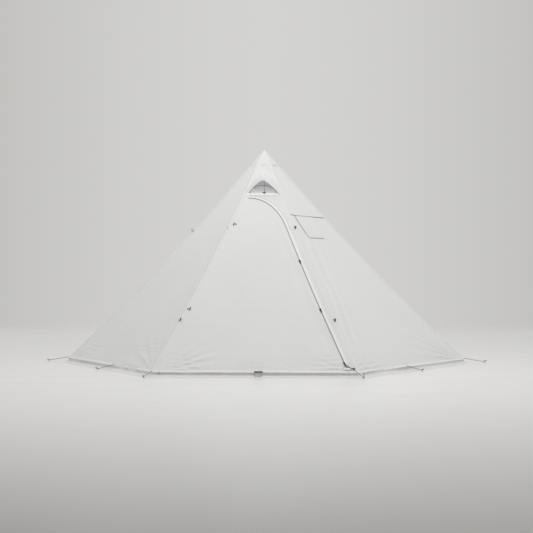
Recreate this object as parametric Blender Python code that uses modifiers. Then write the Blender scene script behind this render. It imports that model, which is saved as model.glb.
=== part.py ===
# Six-sided tipi tent on one centre pole: catenary walls, an arched zip door in
# the front wall, a hooded vent above it, a stove-jack flap on the right wall,
# a snow skirt on the ground and pegged cords round the hem. Metres, +Z up,
# the front wall faces -Y, and the origin lies on the ground under the apex.
import math
import bpy
import bmesh
from mathutils import Vector, Matrix

# The base, a hexagon with a corner at each side
corner_span = 4.00
front_hem = 1.78
front_to_back = 3.40
apex_height = 2.137
hem_height = 0.030
# How far the ridges hang inwards and down from a straight line, half way up
ridge_inward = 0.015
ridge_drop = 0.030
wall_rows = 8

# Fabric, webbing and the gaps that keep touching pieces apart
cloth = 0.003
webbing = 0.002
gap = 0.0003
seam_inset = 0.005
tape_width = 0.015
hem_band = 0.022
panel_top_left_out = 0.10
cap_length = 0.20

# The door
hinge_foot_inset = 0.075
hinge_head_inset = 0.060
zip_inset = 0.082
zip_half = 0.004
# Down the front slope from the apex to the arch's spring and to its crown
arch_spring_down = 1.012
arch_crown_down = 0.642
arch_steps = 12
arch_rise = 0.20
arch_run = 0.19
hinge_gap = 0.0005
hinge_lift = 0.004
flap_width = 0.022
flap_clear = 0.0075
flap_foot = 0.085
slider_length = 0.026
slider_width = 0.012
slider_height = 0.006
slider_lift = 0.0012
slider_places = {"lower_zip_slider": 0.103, "middle_zip_slider": 0.700, "upper_zip_slider": 1.276}
pull_length = 0.026
pull_width = 0.008
strap_width = 0.016
strap_low = 0.034
strap_sewn = 0.030
strap_reach = 0.064
ring_radius = 0.011
ring_hole = 0.006

# The vent, with its sills and the hood's crown down the slope from the apex
vent_half = 0.125
vent_sill_down = 0.570
vent_rise = 0.095
hood_half = 0.145
hood_sill_down = 0.584
hood_crown_down = 0.372
hood_out = 0.030
hood_rim_rise = 0.115
hood_cloth = 0.002
hood_steps = 12
hood_rows = (0, 0.35, 0.7, 1)
hood_rim_clear = 0.0021
hood_flare = 0.04
hood_roundness = 1.2
hood_bulge = Vector((0, -0.007, 0.018))
prop_radius = 0.0035
prop_across = 0.015
prop_foot_width = 0.026
prop_foot_rise = 0.008
prop_foot_depth = 0.004
prop_head_down = 0.006
prop_ball = 0.0045

# The stove jack on the front right wall
jack_left = -0.21
jack_right = 0.10
jack_top = 1.835
jack_bottom = 1.560
jack_corner = 0.035
jack_window_margin = 0.045
jack_patch_margin = 0.020
jack_hole = 0.055

# The snow skirt
skirt_front = 0.15
skirt_side = 0.11
skirt_end = 0.036
skirt_cloth = 0.002
skirt_seat = 0.0015
skirt_tuck = 0.003
skirt_drop = 0.030
skirt_taper = 0.30
skirt_gap = 0.010
skirt_split_shear = 1.1

# Pegs, cords, guy-out loops and toggles
peg_radius = 0.0035
peg_height = 0.020
tall_peg_height = 0.042
peg_hook = 0.022
peg_bend = 0.006
peg_ease = 0.3
side_peg_out = 0.20
front_peg_past = 0.04
front_peg_out = 0.18
edge_peg_out = 0.16
# The two side hems' loops next to the front sit off the middle, towards the front
front_tie_shift = 0.17
cord_radius = 0.0025
cord_sag = 0.002
cord_seat = 0.0019
tie_height = 0.008
door_tie_reach = 0.080
door_tie_half = 0.032
loop_radius = 0.002
loop_reach = 0.024
loop_half = 0.013
loop_steps = 6
loop_seat = gap + webbing * 0.9
door_loop_across = 0.034
# Places down a ridge from the apex to the hem, and a short stretch of it
upper_guy = 0.375
lower_guy = 0.785
guy_span = 0.02
toggle_radius = 0.004
toggle_length = 0.032
# Each toggle's inset from the left ridge and its place up the slope
toggle_places = {"upper_door_toggle": (0.040, 1.736), "lower_door_toggle": (0.034, 0.710)}
buckle_size = (0.020, 0.016, 0.006)

# The centre pole
foot_radius = 0.045
foot_height = 0.012
foot_edge = 0.004
foot_shoulder = 0.027
foot_socket = 0.004
lower_radius = 0.016
upper_radius = 0.0140
tube_wall = 0.0012
tube_clear = 0.0004
lower_top = 1.12
pole_overlap = 0.25
lock_height = 0.050
lock_radius = 0.023
lock_mouth = 0.0184
lock_bevel = 0.006
tip_height = 0.070
tip_straight = 0.020
tip_radius = 0.0045
round_steps = 20

for old in list(bpy.data.objects):
    bpy.data.objects.remove(old, do_unlink=True)

tent = bpy.data.collections.new("tipi_tent")
bpy.context.scene.collection.children.link(tent)

half_span = corner_span / 2
half_hem = front_hem / 2
half_depth = front_to_back / 2
corners = {
    "right": Vector((half_span, 0, 0)),
    "front_right": Vector((half_hem, -half_depth, 0)),
    "front_left": Vector((-half_hem, -half_depth, 0)),
    "left": Vector((-half_span, 0, 0)),
    "back_left": Vector((-half_hem, half_depth, 0)),
    "back_right": Vector((half_hem, half_depth, 0)),
}
# Each wall runs from its left corner to its right one, seen from outside
wall_ends = {
    "front": ("front_left", "front_right"),
    "front_right": ("front_right", "right"),
    "back_right": ("right", "back_right"),
    "back": ("back_right", "back_left"),
    "back_left": ("back_left", "left"),
    "front_left": ("left", "front_left"),
}


def material(name, colour, roughness, metallic=0.0):
    made = bpy.data.materials.new(name)
    made.use_nodes = True
    shader = made.node_tree.nodes["Principled BSDF"]
    shader.inputs["Base Color"].default_value = (*colour, 1)
    shader.inputs["Roughness"].default_value = roughness
    shader.inputs["Metallic"].default_value = metallic
    return made


white_cloth = material("white_cloth", (0.72, 0.72, 0.72), 0.6)
white_tape = material("white_tape", (0.80, 0.80, 0.80), 0.6)
grey_zip = material("grey_zip", (0.16, 0.16, 0.16), 0.5)
black_plastic = material("black_plastic", (0.02, 0.02, 0.02), 0.4)
grey_mesh = material("grey_mesh", (0.45, 0.45, 0.45), 0.8)
heat_cloth = material("heat_cloth", (0.50, 0.48, 0.44), 0.9)
grey_cord = material("grey_cord", (0.30, 0.30, 0.30), 0.7)
steel = material("steel", (0.55, 0.55, 0.56), 0.3, 1.0)
aluminium = material("aluminium", (0.70, 0.70, 0.72), 0.35, 1.0)


def add_object(name, mesh, finish, origin=None):
    made = bpy.data.objects.new(name, mesh)
    if origin is not None:
        mesh.transform(Matrix.Translation(-origin))
        made.location = origin
    mesh.materials.clear()
    mesh.materials.append(finish)
    tent.objects.link(made)
    return made


# Faces turned outwards, and the shape written to its mesh
def close_shape(shape, mesh):
    bmesh.ops.recalc_face_normals(shape, faces=shape.faces)
    if shape.calc_volume(signed=True) < 0:
        bmesh.ops.reverse_faces(shape, faces=shape.faces)
    shape.to_mesh(mesh)
    shape.free()


# Share of the hem's distance from the axis, and the height, at t from apex to hem
def spread(t):
    return t - ridge_inward * 4 * t * (1 - t)


def height(t):
    return apex_height * (1 - t) + hem_height * t - ridge_drop * 4 * t * (1 - t)


row_shares = [1 - row / wall_rows for row in range(wall_rows + 1)]


# One wall: a developable sheet. Points on it are given as x across, s up the
# slope from the hem and n outwards, so its pieces are drawn flat and then laid on
class Wall:
    def __init__(self, name):
        left, right = (corners[end] for end in wall_ends[name])
        self.along = (right - left).normalized()
        self.out = self.along.cross(Vector((0, 0, 1)))
        self.distance = left.dot(self.out)
        self.left_foot = left.dot(self.along)
        self.right_foot = right.dot(self.along)
        self.profile = [(self.distance * spread(t), height(t)) for t in row_shares]
        steps = [Vector(b) - Vector(a) for a, b in zip(self.profile, self.profile[1:])]
        self.rises = [0.0]
        for step in steps:
            self.rises.append(self.rises[-1] + step.length)
        facets = [Vector((step.y, -step.x)).normalized() for step in steps]
        self.facets = facets
        self.normals = [facets[0]]
        for below, above in zip(facets, facets[1:]):
            self.normals.append((below + above) / (1 + below.dot(above)))
        self.normals.append(facets[-1])

    def row(self, s):
        for index in range(wall_rows - 1):
            if s < self.rises[index + 1]:
                break
        else:
            index = wall_rows - 1
        low, high = self.rises[index], self.rises[index + 1]
        return index, (s - low) / (high - low)

    def point(self, x, s, n=0.0):
        index, part = self.row(s)
        a, b = Vector(self.profile[index]), Vector(self.profile[index + 1])
        na, nb = self.normals[index], self.normals[index + 1]
        flat = a.lerp(b, part) + na.lerp(nb, part) * n
        return self.along * x + self.out * flat.x + Vector((0, 0, flat.y))

    def normal(self, s):
        facet = self.facets[self.row(s)[0]]
        return self.out * facet.x + Vector((0, 0, facet.y))

    def share(self, s):
        index, part = self.row(s)
        return row_shares[index] + (row_shares[index + 1] - row_shares[index]) * part

    def left(self, s):
        return self.ridge(self.left_foot, s)

    def right(self, s):
        return self.ridge(self.right_foot, s)

    def ridge(self, foot, s):
        index, part = self.row(s)
        a, b = spread(row_shares[index]), spread(row_shares[index + 1])
        return foot * (a + (b - a) * part)

    # Row heights between two places, with both ends
    def levels(self, low, high):
        inside = [rise for rise in self.rises if low + 0.001 < rise < high - 0.001]
        return [low] + inside + [high]


walls = {name: Wall(name) for name in wall_ends}
front = walls["front"]
front_slope = front.rises[-1]
wall_top = front_slope - panel_top_left_out
arch_spring = front_slope - arch_spring_down
arch_crown = front_slope - arch_crown_down
vent_sill = front_slope - vent_sill_down
hood_sill = front_slope - hood_sill_down


# A flat shape with holes, cut out of sheet and laid on a wall from n low to n high
def sheet_mesh(outlines, low, high):
    curve = bpy.data.curves.new("outline", "CURVE")
    curve.dimensions = "2D"
    curve.fill_mode = "BOTH"
    curve.extrude = (high - low) / 2
    for outline in outlines:
        spline = curve.splines.new("POLY")
        spline.points.add(len(outline) - 1)
        for point, (x, y) in zip(spline.points, outline):
            point.co = (x, y, 0, 1)
        spline.use_cyclic_u = True
    return curve_mesh(curve, Vector((0, 0, (low + high) / 2)))


# The welded mesh of a curve
def curve_mesh(curve, shift=Vector()):
    holder = bpy.data.objects.new("holder", curve)
    bpy.context.scene.collection.objects.link(holder)
    graph = bpy.context.evaluated_depsgraph_get()
    mesh = bpy.data.meshes.new_from_object(holder.evaluated_get(graph))
    bpy.data.objects.remove(holder, do_unlink=True)
    bpy.data.curves.remove(curve)
    shape = bmesh.new()
    shape.from_mesh(mesh)
    bmesh.ops.translate(shape, verts=shape.verts, vec=shift)
    bmesh.ops.remove_doubles(shape, verts=shape.verts, dist=0.00001)
    close_shape(shape, mesh)
    return mesh


def lay_on(mesh, wall):
    shape = bmesh.new()
    shape.from_mesh(mesh)
    for rise in wall.rises[1:-1]:
        everything = list(shape.verts) + list(shape.edges) + list(shape.faces)
        bmesh.ops.bisect_plane(shape, geom=everything, dist=0.000001,
                               plane_co=(0, rise, 0), plane_no=(0, 1, 0))
    for vert in shape.verts:
        vert.co = wall.point(*vert.co)
    close_shape(shape, mesh)


def sewn(name, wall, outlines, low, high, finish, origin=None):
    mesh = sheet_mesh(outlines, low, high)
    lay_on(mesh, wall)
    return add_object(name, mesh, finish, origin)


# A solid through closed rings of points, capped at both ends
def loft(name, rings, finish, origin=None):
    shape = bmesh.new()
    made = [[shape.verts.new(point) for point in ring] for ring in rings]
    for one, two in zip(made, made[1:]):
        for k in range(len(one)):
            after = (k + 1) % len(one)
            shape.faces.new((one[k], one[after], two[after], two[k]))
    shape.faces.new(made[0])
    shape.faces.new(made[-1])
    mesh = bpy.data.meshes.new(name)
    close_shape(shape, mesh)
    return add_object(name, mesh, finish, origin)


def tube_curve(points, radius, smooth=2):
    curve = bpy.data.curves.new("tube", "CURVE")
    curve.dimensions = "3D"
    curve.bevel_depth = radius
    curve.bevel_resolution = smooth
    curve.use_fill_caps = True
    spline = curve.splines.new("POLY")
    spline.points.add(len(points) - 1)
    for place, point in zip(spline.points, points):
        place.co = (*point, 1)
    return curve


def tube(name, points, radius, finish):
    return add_object(name, curve_mesh(tube_curve(points, radius)), finish)


def join_solid(body, mesh):
    tool = bpy.data.objects.new("joined", mesh)
    bpy.context.scene.collection.objects.link(tool)
    union = body.modifiers.new("union", "BOOLEAN")
    union.operation = "UNION"
    union.object = tool
    graph = bpy.context.evaluated_depsgraph_get()
    result = bpy.data.meshes.new_from_object(body.evaluated_get(graph))
    body.modifiers.clear()
    body.data = result
    bpy.data.objects.remove(tool, do_unlink=True)


# A turned piece. The profile lists (radius, height) down its outer side; a hollow
# one closes on itself and a solid one starts and ends on the axis
def turned(name, profile, finish, origin=Vector(), hollow=False):
    mesh = bpy.data.meshes.new(name)
    edges = [(k, k + 1) for k in range(len(profile) - 1)]
    if hollow:
        edges.append((len(profile) - 1, 0))
    mesh.from_pydata([(radius, 0, level - origin.z) for radius, level in profile], edges, [])
    made = add_object(name, mesh, finish)
    made.location = origin
    screw = made.modifiers.new("turn", "SCREW")
    screw.axis = "Z"
    screw.steps = round_steps
    screw.render_steps = round_steps
    screw.use_merge_vertices = True
    screw.merge_threshold = 0.00001
    return made


def bezier(a, b, c, d, part):
    rest = 1 - part
    return tuple(rest ** 3 * p + 3 * rest ** 2 * part * q + 3 * rest * part ** 2 * r + part ** 3 * s
                 for p, q, r, s in zip(a, b, c, d))


# A copy of an open line moved to its left by a distance, each corner mitred.
# A steep end moves level, so that it keeps its height up the slope
def moved_line(points, distance):
    result = []
    for k, here in enumerate(points):
        before = Vector(here) - Vector(points[k - 1]) if k else None
        after = Vector(points[k + 1]) - Vector(here) if k < len(points) - 1 else None
        sides = [Vector((-way.y, way.x)).normalized() for way in (before, after) if way]
        push = (sides[0] + sides[-1]) / (1 + sides[0].dot(sides[-1]))
        if k in (0, len(points) - 1) and abs(push.x) > abs(push.y):
            push = Vector((1 / push.x, 0))
        result.append((here[0] + push.x * distance, here[1] + push.y * distance))
    return result


# The zip's line on the front wall, from the arch's left end over and down
def zip_across(s):
    return front.right(s) - zip_inset


# A point of the hinge line, which runs up beside the left ridge
def hinge_point(s):
    inset = hinge_foot_inset + (hinge_head_inset - hinge_foot_inset) * s / arch_crown
    return front.left(s) + inset, s


def zip_line(foot):
    low = (zip_across(arch_spring), arch_spring)
    lower = front.levels(foot, arch_spring)
    slope = Vector((zip_across(lower[-2]) - low[0], lower[-2] - low[1])).normalized()
    steer = (low[0] - slope.x * arch_rise, low[1] - slope.y * arch_rise)
    end = hinge_point(arch_crown)
    arch = [bezier(end, (end[0] + arch_run, end[1]), steer, low, k / arch_steps)
            for k in range(arch_steps + 1)]
    return arch + [(zip_across(s), s) for s in reversed(lower[:-1])]


door_hinge = [hinge_point(s) for s in front.levels(0, arch_crown)]


def front_wall():
    outside_zip = moved_line(zip_line(0), zip_half + gap)
    frame = [(front.right(s) - seam_inset, s) for s in front.levels(0, wall_top)]
    left = [(front.left(s) + seam_inset, s) for s in reversed(front.levels(0, wall_top))]
    hinge_side = moved_line(door_hinge, hinge_gap / 2)
    hinge_side[-1] = (hinge_side[-1][0], outside_zip[0][1])
    outline = frame + left + hinge_side + outside_zip[1:]
    sewn("front_wall", front, [outline, vent_outline(0)], -cloth, 0, white_cloth)


def vent_outline(inset):
    half = vent_half - inset
    rise = vent_rise - inset
    arch = [(half * math.cos(math.pi * k / arch_steps), rise * math.sin(math.pi * k / arch_steps))
            for k in range(arch_steps + 1)]
    return [(x, vent_sill + y + inset * (k in (0, arch_steps))) for k, (x, y) in enumerate(arch)]


def plain_wall(name, holes=()):
    wall = walls[name]
    top = wall.rises[-1] - panel_top_left_out
    right = [(wall.right(s) - seam_inset, s) for s in wall.levels(0, top)]
    left = [(wall.left(s) + seam_inset, s) for s in reversed(wall.levels(0, top))]
    sewn(name + "_wall", wall, [right + left, *holes], -cloth, 0, white_cloth)


# The door turns on the straight line from here to the top of its hinge side
hinge_foot = front.point(door_hinge[0][0], 0, hinge_lift)


def door():
    inside_zip = moved_line(zip_line(0), -zip_half - gap)
    hinge_side = moved_line(door_hinge, -hinge_gap / 2)
    hinge_side[-1] = (hinge_side[-1][0], inside_zip[0][1])
    sewn("door_panel", front, [hinge_side + inside_zip[1:]], -cloth, 0, white_cloth, hinge_foot)
    centre = zip_line(hem_band + gap)
    outer = moved_line(centre, zip_half)
    middle = moved_line(centre, gap / 2)
    sewn("wall_zip_tape", front, [outer + middle[::-1]], -cloth * 0.8, gap, grey_zip)
    other = moved_line(centre, -gap / 2)
    inner = moved_line(centre, -zip_half)
    sewn("door_zip_tape", front, [other + inner[::-1]], -cloth * 0.8, gap, grey_zip, hinge_foot)
    above = zip_line(flap_foot)
    near = moved_line(above, flap_clear)
    far = moved_line(above, flap_clear + flap_width)
    sewn("storm_flap", front, [near + far[::-1]], gap, gap + webbing, white_tape)


# A slider with its hanging pull, riding over both zip tapes
def zip_slider(name, s):
    above = s + slider_length / 2
    below = s - slider_length / 2
    up = Vector((zip_across(above), above))
    down = Vector((zip_across(below), below))
    way = (up - down).normalized()
    side = Vector((way.y, -way.x)) * slider_width / 2
    pull_side = side * pull_width / slider_width
    tail = down - way * pull_length
    outline = [up - side, down - side, down - pull_side, tail - pull_side,
               tail + pull_side, down + pull_side, down + side, up + side]
    origin = front.point(zip_across(s), s, slider_lift)
    sewn(name, front, [[tuple(p) for p in outline]], slider_lift, slider_lift + slider_height,
         black_plastic, origin)


def ring_outline(centre, radius, steps=16):
    return [(centre[0] + radius * math.cos(2 * math.pi * k / steps),
             centre[1] + radius * math.sin(2 * math.pi * k / steps)) for k in range(steps)]


# The strap on the door's free corner ends in an eye for the buckle
strap_start = (zip_across(strap_low) - strap_sewn, strap_low + strap_width / 2)
strap_end = (strap_start[0] + strap_reach, strap_start[1])


def door_strap():
    low, high = strap_low, strap_low + strap_width
    eye = [(strap_end[0] + ring_radius * math.sin(angle), strap_end[1] - ring_radius * math.cos(angle))
           for angle in (math.pi * k / 8 for k in range(9))]
    outline = [(strap_start[0], low)] + eye + [(strap_start[0], high)]
    hole = ring_outline(strap_end, ring_hole, 12)
    sewn("door_strap", front, [outline, hole], 2 * gap, 2 * gap + webbing, white_tape, hinge_foot)


def box_mesh(centre, axes, size):
    shape = bmesh.new()
    bmesh.ops.create_cube(shape, size=1.0)
    for vert in shape.verts:
        vert.co = centre + sum((axis * length * part for axis, length, part in
                                zip(axes, size, vert.co)), Vector())
    mesh = bpy.data.meshes.new("block")
    close_shape(shape, mesh)
    return mesh


def ball_mesh(centre, radius):
    shape = bmesh.new()
    bmesh.ops.create_uvsphere(shape, u_segments=12, v_segments=8, radius=radius)
    bmesh.ops.translate(shape, verts=shape.verts, vec=centre)
    mesh = bpy.data.meshes.new("ball")
    close_shape(shape, mesh)
    return mesh


buckle_across = strap_end[0] + ring_radius + gap + buckle_size[0] / 2
buckle_lift = 2 * gap + webbing + buckle_size[2] / 2
buckle_centre = front.point(buckle_across, strap_end[1], buckle_lift)


def door_buckle():
    up = front.normal(strap_end[1]).cross(front.along)
    axes = (front.along, up, front.normal(strap_end[1]))
    add_object("door_buckle", box_mesh(buckle_centre, axes, buckle_size), black_plastic)


# A bar on a short loop; it turns about a line square to the wall
def door_toggle(name, inset, s):
    x = front.left(s) + inset
    lift = toggle_radius + gap
    slope = Vector((front.left(s + 0.1) - front.left(s - 0.1), 0.2)).normalized() * toggle_length / 2
    ends = [front.point(x + slope.x * side, s + slope.y * side, lift) for side in (-1, 1)]
    add_object(name, curve_mesh(tube_curve(ends, toggle_radius)), black_plastic, front.point(x, s, lift))


# A point at a corner's ridge, n outwards from both of its walls
def ridge_point(corner, t, n):
    (one, two) = [walls[name] for name, ends in wall_ends.items() if corner in ends]
    near = min(range(wall_rows), key=lambda k: abs((row_shares[k] + row_shares[k + 1]) / 2 - t))
    a, b = row_shares[near], row_shares[near + 1]
    part = (t - a) / (b - a)
    base = corners[corner] * (spread(a) + (spread(b) - spread(a)) * part)
    base.z = height(a) + (height(b) - height(a)) * part
    sides = [wall.normal((wall.rises[near] + wall.rises[near + 1]) / 2) for wall in (one, two)]
    return base + (sides[0] + sides[1]) * n / (1 + sides[0].dot(sides[1]))


# A loop of round webbing that stands out of a seam, its ends sunk in the tape
def loop_mesh(middle, along, out):
    points = []
    for k in range(loop_steps + 1):
        angle = math.pi * k / loop_steps
        points.append(middle + along * (loop_half * math.cos(angle)) +
                      out * (loop_reach * math.sin(angle)))
    return curve_mesh(tube_curve(points, loop_radius, 1))


# A long loop of cord from the hem down to a bend round a peg, or over the skirt
def tie_mesh(wall, x, reach, half, level):
    start = wall.point(x, hem_band / 2, loop_seat)
    end = wall.along * x + wall.out * (wall.distance + reach) + Vector((0, 0, level))
    points = [start + wall.along * half]
    for k in range(loop_steps + 1):
        angle = math.pi * k / loop_steps
        points.append(end + wall.along * (half * math.cos(angle)) + wall.out * (half * math.sin(angle)))
    points.append(start - wall.along * half)
    return curve_mesh(tube_curve(points, loop_radius, 1))


def ridge_tape(corner):
    left = next(walls[name] for name, ends in wall_ends.items() if ends[1] == corner)
    right = next(walls[name] for name, ends in wall_ends.items() if ends[0] == corner)
    foot = left.share(hem_band + gap)
    head = left.share(left.rises[-1] - cap_length - gap)
    shares = [foot] + [t for t in row_shares if head < t < foot] + [head]
    rings = []
    for t in shares:
        ring = []
        for n in (gap, gap + webbing):
            wing_left = wing_point(left, left.right_foot, t, -tape_width, n)
            wing_right = wing_point(right, right.left_foot, t, tape_width, n)
            side = [wing_left, ridge_point(corner, t, n), wing_right]
            ring += side if n == gap else side[::-1]
        rings.append(ring)
    made = loft(corner + "_ridge_tape", rings, white_tape)
    places = [upper_guy]
    if corner.startswith("front"):
        places.append(lower_guy)
    for t in places:
        middle = ridge_point(corner, t, loop_seat)
        along = ridge_point(corner, t - guy_span, 0) - ridge_point(corner, t + guy_span, 0)
        along.normalize()
        out = ridge_point(corner, t, 1.0) - ridge_point(corner, t, 0.0)
        join_solid(made, loop_mesh(middle, along, out.normalized()))


def rise_at(wall, t):
    for k in range(wall_rows):
        if row_shares[k] >= t >= row_shares[k + 1]:
            part = (row_shares[k] - t) / (row_shares[k] - row_shares[k + 1])
            return wall.rises[k] + (wall.rises[k + 1] - wall.rises[k]) * part
    return wall.rises[-1]


def wing_point(wall, foot, t, shift, n):
    s = rise_at(wall, t)
    return wall.point(wall.ridge(foot, s) + shift, s, n)


def tie_across(name):
    wall = walls[name]
    towards_front = {"front_left": 1, "front_right": -1}.get(name, 0)
    return (wall.left_foot + wall.right_foot) / 2 + towards_front * front_tie_shift


# Webbing round the hem: four edges on each ring, a ring at each corner
def hem_webbing():
    top = front.share(hem_band)
    start = zip_across(0) + zip_half + webbing
    end = hinge_point(0)[0] - webbing

    def at_wall(x):
        return [front.point(x, s, n) for s, n in
                ((0, gap), (0, gap + webbing), (hem_band, gap + webbing), (hem_band, gap))]

    def at_corner(name):
        return [ridge_point(name, t, n) for t, n in
                ((1, gap), (1, gap + webbing), (top, gap + webbing), (top, gap))]

    rings = [at_wall(start)]
    rings += [at_corner(name) for name in
              ("front_right", "right", "back_right", "back_left", "left", "front_left")]
    rings.append(at_wall(end))
    made = loft("hem_webbing", rings, white_tape)
    for name in wall_ends:
        if name == "front":
            continue
        join_solid(made, tie_mesh(walls[name], tie_across(name), edge_peg_out, peg_radius + loop_radius + gap,
                                  tie_height))


def door_hem():
    low, high = [(hinge_point(s)[0] + hinge_gap, zip_across(s) - zip_half - gap) for s in (0, hem_band)]
    outline = [(low[0], 0), (low[1], 0), (high[1], hem_band), (high[0], hem_band)]
    made = sewn("door_hem_webbing", front, [outline], gap, gap + webbing, white_tape)
    join_solid(made, tie_mesh(front, door_loop_across, door_tie_reach, door_tie_half, tie_height))
    made.data.transform(Matrix.Translation(-hinge_foot))
    made.location = hinge_foot


# The skirt's cross-section as (out from the hem, height), under the hem's edge
def skirt_section(reach):
    top = hem_height - skirt_seat
    turn = skirt_cloth / 2
    return [(-skirt_tuck, top - skirt_cloth), (skirt_drop, 0), (reach, 0), (reach, skirt_cloth),
            (skirt_drop + turn, skirt_cloth), (-turn, top)]


def skirt_ring(wall, x, reach, shear=0.0):
    foot = wall.along * x + wall.out * wall.distance
    return [foot + (wall.out + wall.along * shear) * out + Vector((0, 0, level))
            for out, level in skirt_section(reach)]


def skirt_corner(name, one, two, reach_one, reach_two):
    ring = []
    a, b = one.out, two.out
    turn = a.dot(b)
    for (u, level), (v, _) in zip(skirt_section(reach_one), skirt_section(reach_two)):
        p = (u - v * turn) / (1 - turn * turn)
        q = (v - u * turn) / (1 - turn * turn)
        ring.append(corners[name] + a * p + b * q + Vector((0, 0, level)))
    return ring


def skirts():
    left, right = walls["front_left"], walls["front_right"]
    split_left = hinge_point(0)[0]
    split_right = zip_across(0)
    clear = skirt_gap / 2
    loft("front_left_skirt",
         [skirt_ring(left, left.left_foot + clear, skirt_end),
          skirt_ring(left, left.left_foot + skirt_taper, skirt_side),
          skirt_corner("front_left", left, front, skirt_side, skirt_front),
          skirt_ring(front, split_left - clear, skirt_front, skirt_split_shear)], white_cloth)
    loft("front_right_skirt",
         [skirt_ring(front, split_right + clear, skirt_front),
          skirt_corner("front_right", front, right, skirt_front, skirt_side),
          skirt_ring(right, right.right_foot - skirt_taper, skirt_side),
          skirt_ring(right, right.right_foot - clear, skirt_end)], white_cloth)
    loft("door_skirt",
         [skirt_ring(front, split_left + clear, skirt_front, skirt_split_shear),
          skirt_ring(front, split_right - clear, skirt_front)], white_cloth, hinge_foot)
    for name in ("back_right", "back", "back_left"):
        wall = walls[name]
        reach = skirt_front if name == "back" else skirt_side
        ends = skirt_taper / 2 if name == "back" else skirt_taper
        loft(name + "_skirt",
             [skirt_ring(wall, wall.left_foot + clear, skirt_end),
              skirt_ring(wall, wall.left_foot + ends, reach),
              skirt_ring(wall, wall.right_foot - ends, reach),
              skirt_ring(wall, wall.right_foot - clear, skirt_end)], white_cloth)


# The doubled patch over the apex
def apex_cap():
    share = front.share(front_slope - cap_length)
    top = front.share(front_slope - 2 * webbing)
    rings = [[ridge_point(name, t, n) for name in corners] for t, n in
             ((top, gap), (share, gap), (share, gap + webbing), (top, gap + webbing))]
    loft("apex_cap", rings, white_tape)


# The hood: a strip from its free rim, which a prop holds off the wall, to the
# arch where it is sewn on
def vent_hood():
    sill = front.point(0, hood_sill, 0)
    edge_lift = gap + hood_cloth / 2
    shape = bmesh.new()
    rows = []
    for part in hood_rows:
        row = []
        for k in range(hood_steps + 1):
            angle = math.pi * k / hood_steps
            x, arch = math.cos(angle) * hood_half, math.sin(angle)
            rim = Vector((x, sill.y - hood_out * arch, sill.z + hood_rim_rise * arch))
            rim += Vector((0, -hood_rim_clear, edge_lift))
            level = vent_sill + (hood_sill_down - hood_crown_down) * arch ** hood_roundness
            sewn_on = front.point(x * (1 + hood_flare * (1 - arch)), level, edge_lift)
            bulge = hood_bulge * math.sin(math.pi * part) * arch
            row.append(shape.verts.new(rim.lerp(sewn_on, part) + bulge))
        rows.append(row)
    for low, high in zip(rows, rows[1:]):
        for k in range(hood_steps):
            shape.faces.new((low[k], low[k + 1], high[k + 1], high[k]))
    mesh = bpy.data.meshes.new("vent_hood")
    shape.to_mesh(mesh)
    shape.free()
    made = add_object("vent_hood", mesh, white_cloth)
    thick = made.modifiers.new("thickness", "SOLIDIFY")
    thick.thickness = hood_cloth
    thick.offset = 0


def vent():
    sewn("vent_mesh", front, [vent_outline(gap)], -cloth + gap, -gap, grey_mesh)
    vent_hood()
    level = vent_sill - prop_foot_rise / 2 - 2 * gap
    foot = front.point(prop_across, level, gap + prop_foot_depth / 2)
    up = front.normal(level).cross(front.along)
    axes = (front.along, up, front.normal(level))
    block = box_mesh(foot, axes, (prop_foot_width, prop_foot_rise, prop_foot_depth))
    add_object("vent_prop_foot", block, black_plastic)
    pivot = front.point(prop_across, level, 2 * gap + prop_foot_depth + prop_ball)
    sill = front.point(0, hood_sill, 0)
    head = Vector((prop_across, sill.y - hood_out, sill.z + hood_rim_rise - prop_head_down))
    made = add_object("vent_prop", ball_mesh(pivot, prop_ball), black_plastic)
    join_solid(made, curve_mesh(tube_curve([pivot, head], prop_radius)))
    made.data.transform(Matrix.Translation(-pivot))
    made.location = pivot


def rounded_corners(left, right, bottom, top, radius, square_top):
    points = []
    for x, y, start in ((right, bottom, 270), (right, top, 0), (left, top, 90), (left, bottom, 180)):
        if square_top and y == top:
            points.append((x, y))
            continue
        inside = (x - radius if x == right else x + radius, y + radius if y == bottom else y - radius)
        for k in range(5):
            angle = math.radians(start + 90 * k / 4)
            points.append((inside[0] + radius * math.cos(angle), inside[1] + radius * math.sin(angle)))
    return points


def stove_jack():
    wall = walls["front_right"]
    margin = jack_window_margin
    window = rounded_corners(jack_left + margin, jack_right - margin, jack_bottom + margin,
                             jack_top - margin, jack_corner / 2, False)
    plain_wall("front_right", [window])
    margin = jack_patch_margin
    patch = rounded_corners(jack_left + margin, jack_right - margin, jack_bottom + margin,
                            jack_top - margin, jack_corner, False)
    centre = ((jack_left + jack_right) / 2, (jack_bottom + jack_top) / 2)
    sewn("stove_jack_patch", wall, [patch, ring_outline(centre, jack_hole, 20)],
         -cloth - gap - webbing, -cloth - gap, heat_cloth)
    cover = rounded_corners(jack_left, jack_right, jack_bottom, jack_top, jack_corner, True)
    hinge = wall.point(centre[0], jack_top, gap + webbing)
    sewn("stove_jack_flap", wall, [cover], gap, gap + webbing, white_cloth, hinge)


# The standing part of a peg: the shaft down to the ground and its bent head
def peg(name, place, away, tall=False):
    rise = tall_peg_height if tall else peg_height
    level = rise - peg_radius
    ease = peg_bend * peg_ease
    points = [place, place + Vector((0, 0, level - peg_bend)),
              place + away * ease + Vector((0, 0, level - ease)),
              place + away * peg_bend + Vector((0, 0, level)),
              place + away * peg_hook + Vector((0, 0, level))]
    tube(name, points, peg_radius, steel)


def cord(name, start, place, level):
    away = Vector((place.x - start.x, place.y - start.y, 0)).normalized()
    stop = place - away * (peg_radius + gap) + Vector((0, 0, level))
    middle = start.lerp(stop, 0.5) - Vector((0, 0, cord_sag))
    tube(name, [start, middle, stop], cord_radius, grey_cord)


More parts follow.
